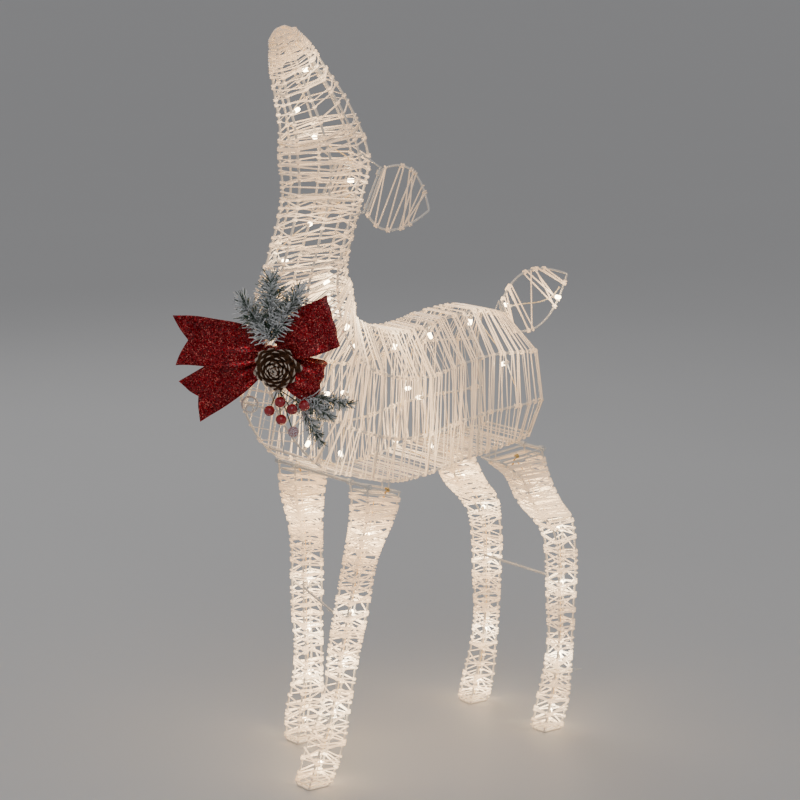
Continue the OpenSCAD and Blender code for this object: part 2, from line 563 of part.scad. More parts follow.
berry_places = [[14, -56, 24], [28, -64, 26], [42, -60, 23], [1, -67, 22], [15, -77, 24], [29, -92, 21]];
module berries() color(red) for (b = berry_places) translate(spray(b)) sphere(berry_d / 2);
stem_root = [8, -46, 6];
module berry_stems() color(green) for (b = berry_places) let (v = b - stem_root)
    rod(spray(stem_root + [b[0] * 0.1, 0, 0]), spray(b - unit(v) * (berry_d / 2 + 0.1)), 0.7);
// A flocked sprig: needle plumes from a root to their tips.
module plume(a, b, r) {
    d = b - a;
    translate(a) rotate([0, acos(d[2] / norm(d)), atan2(d[1], d[0])]) rotate_extrude()
        polygon([[0, 0], [r * 0.5, norm(d) * 0.1], [r, norm(d) * 0.35], [r * 0.9, norm(d) * 0.7],
            [r * 0.4, norm(d) * 0.95], [0, norm(d)]]);
}
plume_gap = 15;              // bare stem before the needles
module sprig(root, tips, r) color(green) for (t = tips)
    plume(spray(root + unit(t - root) * plume_gap), spray(t), r);
module upper_sprig() sprig([2, 14, 12], [[-30, 62, 18], [4, 92, 20], [38, 76, 22]], 9);
module lower_sprig() sprig([30, -50, 4], [[72, -76, 6], [60, -108, 8], [98, -60, 10]], 6);
module spray_tie_wire() color(green) rod(chest_corner + spray_out * (layer + twine_t + 0.4),
    spray([0, 0, -7.4]), 0.9);
// Cable ties that gather the string, each a band with its trimmed tail.
chest_tie_at = trunk(6.9, 4) + [-layer - twine_t - 1.4, -2, 0];
module chest_cable_tie() color(clear) {
    translate(chest_tie_at) cube([2, 3.4, 4.4], center = true);
    rod(chest_tie_at, chest_tie_at + [4, -4, -38], 0.8);
}
module rear_leg_cable_tie() color(clear) {
    p = leg_corner(rear_legs, rear_hip, 0, -1, 8, 1) + [thin_r + twine_gap + twine_t + 1.4, 0, 0];
    translate(p) cube([2, 3.4, 4.4], center = true);
    rod(p, p + [14, -3, 0], 0.8);
}
// Gold twist ties, wound on the free end of each leg's top rail.
module hip_ties(table, hip, drop, free) color(gold) for (side = [-1, 1])
    for (c = [side < 0 ? 0 : 3]) let (a = leg_corner(table, hip, drop, side, 0, c),
        b = leg_corner(table, hip, drop, side, 0, c + (c == 0 ? 1 : -1)))
        translate(mix3(a, b, free)) rotate([0, 90, 0]) rotate_extrude()
            translate([thin_r + 1.5, 0]) circle(0.8);
module front_hip_ties() hip_ties(front_legs, front_hip, leg_drop[0], 0.6);
module rear_hip_ties() hip_ties(rear_legs, rear_hip, leg_drop[1], 0.4);

body_frame();
neck_head_frame();
body_twine();
neck_head_twine();
front_hip_rail();
rear_hip_rail();
front_hip_saddles();
rear_hip_saddles();
body_light_string();
trunk_bulbs();
neck_light_string();
spray_tie_wire();
lead_inlet();
chest_hook();
ear_pins();
trunk_bulb_sockets();
chest_cable_tie();
left_front_leg_frame();
right_front_leg_frame();
left_front_leg_twine();
right_front_leg_twine();
front_leg_eyes();
front_cross_bar();
front_hip_ties();
front_leg_light_strings();
front_leg_bulbs();
front_leg_bulb_sockets();
left_rear_leg_frame();
right_rear_leg_frame();
left_rear_leg_twine();
right_rear_leg_twine();
rear_leg_eyes();
rear_cross_bar();
rear_hip_ties();
rear_leg_light_strings();
rear_leg_bulbs();
rear_leg_bulb_sockets();
rear_leg_cable_tie();
left_ear_frame();
left_ear_twine();
left_ear_eyes();
right_ear_frame();
right_ear_twine();
right_ear_eyes();
tail_frame();
tail_twine();
tail_eyes();
tail_pin();
tail_bulbs();
tail_bulb_sockets();
ribbon_upper_tail();
ribbon_lower_tail();
ribbon_upper_loop();
ribbon_lower_loop();
ribbon_knot();
pine_cone();
berries();
berry_stems();
upper_sprig();
lower_sprig();
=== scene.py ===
"""Looks of the light-up yard doe: smooth bent wires, twine wound turn by turn over them,
a lit LED string, and the ribbon, pine cone, berry and pine spray on its chest."""
import math
import random

import bmesh
import bpy
import numpy as np
from mathutils import Matrix, Vector


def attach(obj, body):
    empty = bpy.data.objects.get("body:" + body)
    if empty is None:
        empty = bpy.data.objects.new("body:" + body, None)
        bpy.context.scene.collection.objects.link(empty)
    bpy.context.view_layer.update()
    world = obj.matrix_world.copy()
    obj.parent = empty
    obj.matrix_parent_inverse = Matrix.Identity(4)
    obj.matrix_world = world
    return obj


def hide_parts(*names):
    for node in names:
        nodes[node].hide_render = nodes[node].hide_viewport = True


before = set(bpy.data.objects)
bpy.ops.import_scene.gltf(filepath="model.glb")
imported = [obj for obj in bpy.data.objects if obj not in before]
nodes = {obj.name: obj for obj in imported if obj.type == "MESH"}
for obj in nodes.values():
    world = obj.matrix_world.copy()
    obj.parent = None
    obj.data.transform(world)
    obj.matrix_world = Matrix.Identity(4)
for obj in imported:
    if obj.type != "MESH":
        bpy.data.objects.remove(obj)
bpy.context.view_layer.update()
MM = 0.001

# --- Camera: three-quarter view from the doe's left front ---
CAMERA_TURN = -37.0
CAMERA_RISE = 10.7
CAMERA_FAR = 3.2
CAMERA_LENS = 115.7
AIM_HEIGHT = 0.442


def make_camera():
    turn, rise = math.radians(CAMERA_TURN), math.radians(CAMERA_RISE)
    back = Vector((math.sin(turn) * math.cos(rise), -math.cos(turn) * math.cos(rise), math.sin(rise)))
    camera = bpy.data.objects.new("camera", bpy.data.cameras.new("camera"))
    bpy.context.scene.collection.objects.link(camera)
    camera.data.lens = CAMERA_LENS
    camera.location = Vector((0, 0, AIM_HEIGHT)) + back * CAMERA_FAR
    camera.rotation_euler = back.to_track_quat("Z", "Y").to_euler()
    bpy.context.scene.camera = camera


make_camera()

# --- Small helpers ---


def unit(v):
    v = np.asarray(v, float)
    return v / max(np.linalg.norm(v), 1e-12)


def mix(a, b, t):
    return a + (b - a) * t


def catmull(table, t):
    """A smooth row between the rows of a table, at place t."""
    i = int(min(max(math.floor(t), 0), len(table) - 2))
    f = t - i
    a, b, c, d = (table[min(max(j, 0), len(table) - 1)] for j in (i - 1, i, i + 1, i + 2))
    return 0.5 * (2 * b + (c - a) * f + (2 * a - 5 * b + 4 * c - d) * f * f
                  + (3 * b - 3 * c + d - a) * f ** 3)


def only(obj):
    """Select one object alone and make it the active one."""
    bpy.ops.object.select_all(action="DESELECT")
    obj.select_set(True)
    bpy.context.view_layer.objects.active = obj


def tube(name, paths, radius, corners=1, closed=False):
    """Round rods along paths of points in metres, as one mesh. corners 0, 1, 2 gives 4, 6, 8 sides."""
    curve = bpy.data.curves.new(name, "CURVE")
    curve.dimensions = "3D"
    curve.bevel_depth = radius
    curve.bevel_resolution = corners
    curve.use_fill_caps = True
    for path in paths:
        spline = curve.splines.new("POLY")
        spline.points.add(len(path) - 1)
        flat = np.ones((len(path), 4))
        flat[:, :3] = np.asarray(path)
        spline.points.foreach_set("co", flat.ravel())
        spline.use_cyclic_u = closed
    obj = bpy.data.objects.new(name, curve)
    bpy.context.scene.collection.objects.link(obj)
    only(obj)
    bpy.ops.object.convert(target="MESH")
    obj = bpy.context.object
    bpy.ops.object.shade_smooth()
    return obj


def mesh_piece(name, verts, faces):
    data = bpy.data.meshes.new(name)
    data.from_pydata([tuple(v) for v in verts], [], faces)
    data.update()
    obj = bpy.data.objects.new(name, data)
    bpy.context.scene.collection.objects.link(obj)
    only(obj)
    bpy.ops.object.shade_smooth()
    return obj


def face_outwards(obj):
    """Turn a closed piece's faces to point away from its inside."""
    only(obj)
    bpy.ops.object.mode_set(mode="EDIT")
    bpy.ops.mesh.select_all(action="SELECT")
    bpy.ops.mesh.normals_make_consistent(inside=False)
    bpy.ops.object.mode_set(mode="OBJECT")


def round_piece(name, rows, cols, point_at):
    """A closed round piece; point_at(share along it, angle round it) gives its surface."""
    verts = [point_at(i / (rows - 1), 2 * math.pi * j / cols) for i in range(rows) for j in range(cols)]
    faces = [(i * cols + j, i * cols + (j + 1) % cols, (i + 1) * cols + (j + 1) % cols, (i + 1) * cols + j)
             for i in range(rows - 1) for j in range(cols)]
    faces += [tuple(reversed(range(cols))), tuple(range((rows - 1) * cols, rows * cols))]
    obj = mesh_piece(name, verts, faces)
    face_outwards(obj)
    return obj


def points_of(obj):
    co = np.zeros(len(obj.data.vertices) * 3, np.float32)
    obj.data.vertices.foreach_get("co", co)
    return co.reshape(-1, 3)


def paint(obj, name, values):
    """Store one number for each corner point of a piece, for its material to read."""
    layer = obj.data.attributes.new(name, "FLOAT", "POINT")
    layer.data.foreach_set("value", np.asarray(values, np.float32))


def finish(obj, body, material, replaced=()):
    """Give a piece its body, its material and the nodes that it stands for."""
    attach(obj, body)
    if replaced:
        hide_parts(*replaced)
    obj.data.materials.clear()
    obj.data.materials.append(material)
    return obj


# --- The trunk's sections, rump to nose, as the frame has them (mm and degrees) ---
SECTIONS = np.array([
    # x, z, tilt, half depth, half width, half width at the belly wires, sides bulge back
    (152, 460, -9, 84, 66, 44, 26),
    (105, 463, 0, 93, 71, 58, 0),
    (50, 457, 0, 94, 73, 61, 0),
    (0, 447, 2, 94, 74, 61, 0),
    (-48, 447, 4, 97, 74, 60, 0),
    (-100, 463, 9, 100, 72, 57, 0),
    (-126, 481, 22, 106, 69, 50, 0),
    (-150, 520, 42, 95, 61, 38, 0),
    (-154, 562, 62, 78, 54, 26, 0),
    (-147, 606, 78, 57, 47, 19, 0),
    (-132, 652, 84, 51, 43, 17, 0),
    (-117, 702, 92, 50, 43, 17, 0),
    (-113, 750, 88, 56, 46, 19, 0),
    (-127, 800, 70, 45, 38, 16, 0),
    (-146, 840, 64, 35, 31, 13, 0),
    (-161, 874, 64, 26, 24, 10, 0),
    (-172, 898, 66, 15, 14, 6, 0),
], float)
NECK_FROM = 7.5
NOSE_AT = len(SECTIONS) - 1
RING = [22.5, 67.5, 112.5, 157.5, 202.5, 247.5, 292.5, 337.5]
WIRE_R = 1.5
THIN_R = 1.3
TWINE_R = 0.95
CORE_R = 0.42
WIRE_CORNERS = 2


def trunk(t, k, grow=0.0):
    """Wire k of the trunk at place t, moved outwards by grow millimetres."""
    s = catmull(SECTIONS, t)
    tilt, a = math.radians(s[2]), math.radians(RING[k])
    up = np.array((math.sin(tilt), 0, math.cos(tilt)))
    ahead = np.array((-math.cos(tilt), 0, math.sin(tilt)))
    side = s[5] if k == 3 else -s[5] if k == 4 else s[4] * math.sin(a)
    p = np.array((s[0], 0, s[1])) + up * (s[3] + grow) * math.cos(a)
    p += np.array((0, side + grow * math.sin(a), 0)) - ahead * s[6] * abs(math.sin(a))
    return p * MM


def trunk_centre(t):
    """The middle of the trunk's section at place t."""
    s = catmull(SECTIONS, t)
    return np.array((s[0], 0, s[1])) * MM


# --- Legs: height share, front to back, side to side, place behind the hip left and right ---
FRONT_LEGS = np.array([
    (1.000, 48, 36, 24, 24), (0.885, 40, 31, 20, 23), (0.745, 28, 25, 2, 28),
    (0.560, 28, 25, -13, 29), (0.440, 26, 23, -23, 29), (0.330, 24, 22, -30, 31),
    (0.220, 26, 23, -40, 29), (0.120, 34, 28, -53, 25), (0.000, 30, 26, -70, 19),
], float)
REAR_LEGS = np.array([
    (1.000, 68, 36, -34, -34), (0.910, 42, 32, -10, -10), (0.810, 41, 30, 11, 11),
    (0.740, 38, 28, 34, 34), (0.680, 31, 24, 45, 45), (0.580, 28, 24, 50, 50),
    (0.455, 26, 22, 50, 50), (0.310, 22, 20, 50, 50), (0.195, 24, 21, 45, 45),
    (0.100, 29, 24, 38, 38), (0.000, 28, 24, 28, 28),
], float)
STANCE = 76
FOOT_Z = 2.2
FRONT_HIP = np.array((-119.0, 0, 364.0))
REAR_HIP = np.array((152.0, 0, 377.0))
LEG_DROP = {"front": 12, "rear": 8}
CORNERS = [(-1, -1), (1, -1), (1, 1), (-1, 1)]


def leg_table(pair):
    return (FRONT_LEGS, FRONT_HIP, 1) if pair == "front" else (REAR_LEGS, REAR_HIP, -1)


def leg(pair, side, t, c, grow=0.0):
    """Corner wire c of a leg at place t down the leg; side is -1 on the left."""
    table, hip, sense = leg_table(pair)
    s = catmull(table, t)
    lean = s[3] if side < 0 else s[4]
    cx, cy = CORNERS[c]
    drop = max(0.0, 1 - t) * LEG_DROP[pair] * (1 + sense * cx) / 2
    return np.array((
        hip[0] + lean + cx * (s[1] / 2 + grow),
        side * STANCE + cy * (s[2] / 2 + grow),
        mix(FOOT_Z, hip[2], s[0]) - drop,
    )) * MM


def leg_centre(pair, side, t):
    return sum(leg(pair, side, t, c) for c in range(4)) / 4


# --- Where the lights are: the frame's own lenses ---


def lens_places(node):
    """The middle of each separate lens in one of the frame's nodes."""
    work = bmesh.new()
    work.from_mesh(nodes[node].data)
    bmesh.ops.remove_doubles(work, verts=work.verts, dist=1e-5)
    todo, places = set(work.verts), []
    while todo:
        group, edge = [], [todo.pop()]
        while edge:
            v = edge.pop()
            group.append(v.co.copy())
            for e in v.link_edges:
                w = e.other_vert(v)
                if w in todo:
                    todo.discard(w)
                    edge.append(w)
        places.append(np.mean([list(c) for c in group], axis=0))
    work.free()
    return places


LENSES = {n: lens_places(n) for n in ("trunk_bulbs", "front_leg_bulbs", "rear_leg_bulbs", "tail_bulbs")}
ALL_LENSES = np.array([p for places in LENSES.values() for p in places])


HOT_REACH, NEAR_REACH, FAR_REACH = 0.016, 0.038, 0.06
HOT_SHARE, NEAR_SHARE, FAR_SHARE = 1.0, 0.3, 0.05


def light_on(points):
    """How strongly the lenses light points on the twine, the mask of the painted glow: bright at a lens, fading within
    60 mm.
    """
    points = np.asarray(points, np.float32)
    total = np.zeros(len(points), np.float32)
    for p in ALL_LENSES:
        d = np.linalg.norm(points - p.astype(np.float32), axis=1)
        total += HOT_SHARE * np.exp(-(d / HOT_REACH) ** 2)
        total += NEAR_SHARE * np.exp(-(d / NEAR_REACH) ** 2) + FAR_SHARE * np.exp(-d / FAR_REACH)
    return total


def light_up(obj):
    """Store on a piece how strongly the lenses light it."""
    paint(obj, "lit", light_on(points_of(obj)))


# --- Shared shader groups ---


def new_group(name, inputs, outputs):
    group = bpy.data.node_groups.new(name, "ShaderNodeTree")
    for label, kind, default in inputs:
        socket = group.interface.new_socket(label, in_out="INPUT", socket_type=kind)
        socket.default_value = default
    for label, kind in outputs:
        group.interface.new_socket(label, in_out="OUTPUT", socket_type=kind)
    start = group.nodes.new("NodeGroupInput")
    end = group.nodes.new("NodeGroupOutput")
    return group, start, end


def add(tree, kind, **values):
    node = tree.nodes.new(kind)
    for key, value in values.items():
        setattr(node, key, value)
    return node


def ramp(tree, stops):
    node = tree.nodes.new("ShaderNodeValToRGB")
    items = node.color_ramp.elements
    while len(items) < len(stops):
        items.new(0.5)
    for item, (place, colour) in zip(items, stops):
        item.position = place
        item.color = (*colour, 1)
    return node


def speckle_group():
    """Cloudy variation of a finish: a colour between two tones, a roughness and a bump height."""
    group, start, end = new_group(
        "cloudy_finish",
        [("Light tone", "NodeSocketColor", (1, 1, 1, 1)), ("Dark tone", "NodeSocketColor", (0.8, 0.8, 0.8, 1)),
         ("Cloud size", "NodeSocketFloat", 60.0), ("Grain size", "NodeSocketFloat", 900.0),
         ("Smooth", "NodeSocketFloat", 0.3), ("Rough", "NodeSocketFloat", 0.5)],
        [("Color", "NodeSocketColor"), ("Roughness", "NodeSocketFloat"), ("Height", "NodeSocketFloat")])
    link = group.links.new
    place = add(group, "ShaderNodeTexCoord")
    cloud = add(group, "ShaderNodeTexNoise")
    cloud.inputs["Detail"].default_value = 4
    grain = add(group, "ShaderNodeTexNoise")
    grain.inputs["Detail"].default_value = 2
    link(place.outputs["Object"], cloud.inputs["Vector"])
    link(place.outputs["Object"], grain.inputs["Vector"])
    link(start.outputs["Cloud size"], cloud.inputs["Scale"])
    link(start.outputs["Grain size"], grain.inputs["Scale"])
    tone = add(group, "ShaderNodeMix", data_type="RGBA")
    link(cloud.outputs["Fac"], tone.inputs["Factor"])
    link(start.outputs["Dark tone"], tone.inputs["A"])
    link(start.outputs["Light tone"], tone.inputs["B"])
    rough = add(group, "ShaderNodeMapRange")
    link(cloud.outputs["Fac"], rough.inputs["Value"])
    link(start.outputs["Smooth"], rough.inputs["To Min"])
    link(start.outputs["Rough"], rough.inputs["To Max"])
    link(tone.outputs["Result"], end.inputs["Color"])
    link(rough.outputs["Result"], end.inputs["Roughness"])
    link(grain.outputs["Fac"], end.inputs["Height"])
    return group


def painted_glow_group():
    """Painted glow: emission standing in for the light that the twine carries from the lenses: hot near one, amber
    further off.
    """
    group, start, end = new_group(
        "painted_lens_glow",
        [("Strength", "NodeSocketFloat", 3.0), ("Rest light", "NodeSocketFloat", 0.05)],
        [("Color", "NodeSocketColor"), ("Mask", "NodeSocketFloat")])
    link = group.links.new
    lit = add(group, "ShaderNodeAttribute", attribute_name="lit")
    warm = ramp(group, [(0.0, (0.9, 0.5, 0.2)), (0.25, (1.0, 0.62, 0.3)), (0.7, (1.0, 0.78, 0.48)),
                        (1.0, (1.0, 0.9, 0.7))])
    link(lit.outputs["Fac"], warm.inputs["Fac"])
    power = add(group, "ShaderNodeMath", operation="MULTIPLY_ADD")
    link(lit.outputs["Fac"], power.inputs[0])
    link(start.outputs["Strength"], power.inputs[1])
    link(start.outputs["Rest light"], power.inputs[2])
    scale = add(group, "ShaderNodeVectorMath", operation="SCALE")
    link(warm.outputs["Color"], scale.inputs[0])
    link(power.outputs["Value"], scale.inputs["Scale"])
    link(scale.outputs["Vector"], end.inputs["Color"])
    link(lit.outputs["Fac"], end.inputs["Mask"])
    return group


CLOUDY = speckle_group()
PAINTED_GLOW = painted_glow_group()


def new_material(name):
    material = bpy.data.materials.new(name)
    material.use_nodes = True
    tree = material.node_tree
    shader = tree.nodes["Principled BSDF"]
    return material, tree, shader


def place_group(tree, group, **values):
    node = tree.nodes.new("ShaderNodeGroup")
    node.node_tree = group
    for key, value in values.items():
        node.inputs[key.replace("_", " ")].default_value = value
    return node


def add_bump(tree, shader, height, strength, distance):
    bump = add(tree, "ShaderNodeBump")
    bump.inputs["Strength"].default_value = strength
    bump.inputs["Distance"].default_value = distance
    tree.links.new(height, bump.inputs["Height"])
    tree.links.new(bump.outputs["Normal"], shader.inputs["Normal"])
    return bump


def noise_over(tree, scale, detail=2):
    """Noise that stays with the piece it lies on."""
    place = add(tree, "ShaderNodeTexCoord")
    noise = add(tree, "ShaderNodeTexNoise")
    noise.inputs["Scale"].default_value = scale
    noise.inputs["Detail"].default_value = detail
    tree.links.new(place.outputs["Object"], noise.inputs["Vector"])
    return noise.outputs["Fac"]


def vary_gloss(tree, shader, source, smooth, rough):
    """Roughness that runs from smooth to rough with a source."""
    spread = add(tree, "ShaderNodeMapRange")
    spread.inputs["To Min"].default_value = smooth
    spread.inputs["To Max"].default_value = rough
    tree.links.new(source, spread.inputs["Value"])
    tree.links.new(spread.outputs["Result"], shader.inputs["Roughness"])


def cloudy_material(name, light, dark, cloud, grain, smooth, rough, bump, glow=0.0, rest=0.0, **settings):
    """A finish whose colour, roughness and surface vary gently; where lenses light it, a painted glow is added as
    emission.
    """
    material, tree, shader = new_material(name)
    finish_node = place_group(tree, CLOUDY, Light_tone=(*light, 1), Dark_tone=(*dark, 1), Cloud_size=cloud,
                              Grain_size=grain, Smooth=smooth, Rough=rough)
    tree.links.new(finish_node.outputs["Color"], shader.inputs["Base Color"])
    tree.links.new(finish_node.outputs["Roughness"], shader.inputs["Roughness"])
    add_bump(tree, shader, finish_node.outputs["Height"], bump, 0.0004)
    if glow:
        painted_glow_node = place_group(tree, PAINTED_GLOW, Strength=glow, Rest_light=rest)
        tree.links.new(painted_glow_node.outputs["Color"], shader.inputs["Emission Color"])
        shader.inputs["Emission Strength"].default_value = 1.0
    for key, value in settings.items():
        shader.inputs[key.replace("_", " ")].default_value = value
    return material


def powder_coat():
    return cloudy_material("white_powder_coat", (0.86, 0.84, 0.79), (0.74, 0.71, 0.66), 90, 1400, 0.32, 0.5, 0.25,
                           glow=0.8, rest=0.01, Coat_Weight=0.2)


def wound_twine():
    return cloudy_material("clear_pvc_twine", (0.95, 0.92, 0.86), (0.82, 0.75, 0.66), 160, 700, 0.12, 0.3, 0.3,
                           glow=4.6, rest=0.07, Coat_Weight=0.5, Coat_Roughness=0.08, Transmission_Weight=0.15, IOR=1.5)


def string_insulation():
    return cloudy_material("string_insulation", (0.9, 0.68, 0.3), (0.66, 0.45, 0.16), 200, 900, 0.15, 0.3, 0.2,
                           glow=1.6, rest=0.03, Coat_Weight=0.4)


def clear_moulding():
    return cloudy_material("clear_moulding", (0.9, 0.88, 0.82), (0.8, 0.77, 0.7), 120, 600, 0.15, 0.3, 0.15,
                           glow=1.2, rest=0.05, Coat_Weight=0.4)


def plain_moulding():
    return cloudy_material("nylon_moulding", (0.86, 0.85, 0.81), (0.76, 0.74, 0.69), 120, 600, 0.2, 0.38, 0.15,
                           Coat_Weight=0.2)


def gold_tie():
    material = cloudy_material("gold_tie_foil", (0.95, 0.72, 0.32), (0.75, 0.5, 0.18), 300, 1500, 0.2, 0.4, 0.4)
    material.node_tree.nodes["Principled BSDF"].inputs["Metallic"].default_value = 0.9
    return material


def lit_lens():
    material, tree, shader = new_material("lit_lens")
    tint = ramp(tree, [(0.3, (1.0, 0.72, 0.38)), (0.7, (1.0, 0.88, 0.62))])
    tree.links.new(noise_over(tree, 400), tint.inputs["Fac"])
    tree.links.new(tint.outputs["Color"], shader.inputs["Emission Color"])
    tree.links.new(tint.outputs["Color"], shader.inputs["Base Color"])
    shader.inputs["Emission Strength"].default_value = 22.0
    shader.inputs["Roughness"].default_value = 0.15
    return material


POWDER = powder_coat()
TWINE = wound_twine()
STRING = string_insulation()
CLEAR = clear_moulding()
NYLON = plain_moulding()
GOLD = gold_tie()
LENS = lit_lens()
GREEN_WIRE = cloudy_material("green_florist_wire", (0.05, 0.12, 0.05), (0.02, 0.05, 0.025), 250, 900, 0.3, 0.5, 0.3)

# --- Winding twine over a cage of wires ---


PASS_FROM, PASS_TO, LOOP_TO = -50, 50, 400
PASS_STEPS, LOOP_STEPS = 3, 9
LOOP_PITCH = 2.1


def winding(wire_at, count, places, rng, wander, loop_share, clearance):
    """One long strand wound round a cage of `count` wires.

    wire_at(place, k, grow) gives a wire's points, places are the turns' positions along the
    cage. At each wire the strand passes over it, often with one full loop round it."""
    path = []
    for turn in range(len(places) - 1):
        for k in range(count):
            place = mix(places[turn], places[turn + 1], k / count) + rng.uniform(-wander, wander)
            place = min(max(place, places[0]), places[-1])
            middle = wire_at(place, k, 0.0)
            along = unit(wire_at(place + 0.03, k, 0.0) - wire_at(place - 0.03, k, 0.0))
            out = wire_at(place, k, 1.0) - middle
            out = unit(out - along * out.dot(along))
            onward = unit(wire_at(place, (k + 1) % count, 0.0) - middle)
            side = np.cross(along, out)
            side = side if side.dot(onward) > 0 else -side
            looped = rng.random() < loop_share
            end = LOOP_TO if looped else PASS_TO
            steps = LOOP_STEPS if looped else PASS_STEPS
            drift = rng.choice((-1, 1)) * LOOP_PITCH * TWINE_R * MM if looped else 0.0
            reach = clearance * MM
            for i in range(steps):
                share = i / (steps - 1)
                a = math.radians(mix(PASS_FROM, end, share))
                path.append(middle + reach * (math.cos(a) * out + math.sin(a) * side) + along * drift * share)
    return path


def bunched(start, end, fine, gap, bunch, rng):
    """Turn positions: a few close turns, then a gap, and so on."""
    places, at = [start], start
    while at < end:
        for _ in range(rng.randint(*bunch)):
            at += fine * rng.uniform(0.8, 1.25)
            places.append(at)
        at += gap * rng.uniform(0.6, 1.4)
        places.append(at)
    return [p for p in places if p < end] + [end]


def even_places(curve_at, start, end, steps=400):
    """A function from millimetres along a curve to the curve's own place value."""
    t = np.linspace(start, end, steps)
    p = np.array([curve_at(x) for x in t])
    run = np.concatenate(([0], np.cumsum(np.linalg.norm(np.diff(p, axis=0), axis=1)))) / MM
    return run[-1], lambda mm: float(np.interp(mm, run, t))


TRUNK_CLEAR = WIRE_R + TWINE_R
LEG_CLEAR = THIN_R + TWINE_R
END_GAP = 0.5


def trunk_twine(name, node, start, end, fine, gap, bunch, wander, loop_share, seed, guide):
    rng = random.Random(seed)
    length, place_at = even_places(lambda t: trunk(t, guide), start, end)
    at = bunched(0.0, length, fine, gap, bunch, rng)

    def wire_at(mm, k, grow):
        return trunk(place_at(min(max(mm, END_GAP), length - END_GAP)), k, grow)

    path = winding(wire_at, 8, at, rng, wander, loop_share, TRUNK_CLEAR)
    obj = tube(name, [path], TWINE_R * MM)
    light_up(obj)
    finish(obj, "body", TWINE, (node,))


LEG_LOOP_SHARE = 0.55
LEG_TWINE_FROM = 0.4
FOOT_GAP = 1.12


def leg_twine(name, node, pair, side, fine, gap, bunch, wander, seed, hand=1):
    """Twine wound down a leg, closer over its upper part; hand -1 is a loose strand wound back over it."""
    rng = random.Random(seed)
    end = len(leg_table(pair)[0]) - FOOT_GAP
    length, place_at = even_places(lambda t: leg_centre(pair, side, t), LEG_TWINE_FROM, end)
    at = bunched(0.0, length, fine, gap, bunch, rng)
    if hand > 0:
        at = sorted(at + bunched(4.0, 0.24 * length, 3.0, 7.0, (2, 4), rng))

    def wire_at(mm, k, grow):
        place = place_at(min(max(mm, END_GAP), length - END_GAP))
        return leg(pair, side, place, k if hand > 0 else (4 - k) % 4, grow)

    path = winding(wire_at, 4, at, rng, wander, LEG_LOOP_SHARE, LEG_CLEAR)
    obj = tube(name, [path], TWINE_R * MM)
    light_up(obj)
    finish(obj, pair + "_legs", TWINE, (node,))


# --- Frames of bent wire ---


HOOP_INSET = -2.7


def trunk_cage(name, node, start, end, hoops):
    """Eight long bent wires with hoops welded inside them."""
    long_wires = [[trunk(t, k) for t in np.linspace(start, end, int((end - start) * 8))] for k in range(8)]
    obj = tube(name, long_wires, WIRE_R * MM, corners=WIRE_CORNERS)
    finish(obj, "body", POWDER, (node,))
    loops = [[trunk(t, k, HOOP_INSET) for k in range(8)] for t in hoops]
    rings = tube(name + "_hoops", loops, WIRE_R * MM, corners=WIRE_CORNERS, closed=True)
    finish(rings, "body", POWDER, (node,))
    for piece in (obj, rings):
        light_up(piece)


trunk_cage("body_cage", "body_frame", 0, NECK_FROM, (0.02, 1.5, 3, 4.5, 6, 7))
trunk_cage("neck_head_cage", "neck_head_frame", NECK_FROM + 0.04, NOSE_AT, (8, 9.5, 11, 12.5, 14, 15.5, NOSE_AT))
trunk_twine("body_twine_winding", "body_twine", 0.03, NECK_FROM - 0.05, 2.6, 9.0, (1, 3), 3.2, 0.5, 11, 1)
trunk_twine("neck_twine_winding", "neck_head_twine", NECK_FROM, 12.6, 3.2, 9.5, (1, 2), 5.0, 0.5, 12, 6)
trunk_twine("head_twine_winding", "neck_head_twine", 12.6, 14.8, 3.4, 19.0, (1, 2), 3.0, 0.6, 13, 6)
trunk_twine("nose_twine_winding", "neck_head_twine", 14.8, NOSE_AT - 0.04, 2.4, 2.6, (2, 4), 1.0, 0.4, 14, 6)


NOSE_STRANDS = 26


def nose_lacing():
    """Strands carried over the open nose from wire to wire, rounding it off."""
    rng = random.Random(15)
    ahead = unit(trunk_centre(NOSE_AT) - trunk_centre(NOSE_AT - 0.5))
    path = []
    for i in range(NOSE_STRANDS):
        a = trunk(NOSE_AT - 0.02, (3 * i) % 8, 2.0)
        b = trunk(NOSE_AT - 0.02, (3 * i + 4 + rng.choice((-1, 0, 1))) % 8, 2.0)
        rise = rng.uniform(3.0, 8.0) * MM
        drop = ahead * rng.uniform(1.0, 6.0) * MM
        for f in np.linspace(0, 1, 9):
            arch = math.sin(math.pi * f)
            path.append(mix(a, b, f) + ahead * rise * arch ** 0.7 - drop * (1 - arch))
    obj = tube("nose_lacing", [path], TWINE_R * MM)
    light_up(obj)
    finish(obj, "body", TWINE, ("neck_head_twine",))


nose_lacing()


def rounded_corners(points, radius, steps=5):
    """A closed loop of points with its corners turned on a radius."""
    out = []
    n = len(points)
    for i in range(n):
        a, b, c = points[i - 1], points[i], points[(i + 1) % n]
        p, q = b + unit(a - b) * radius, b + unit(c - b) * radius
        for j in range(steps + 1):
            f = j / steps
            out.append(mix(mix(p, b, f), mix(b, q, f), f))
    return out


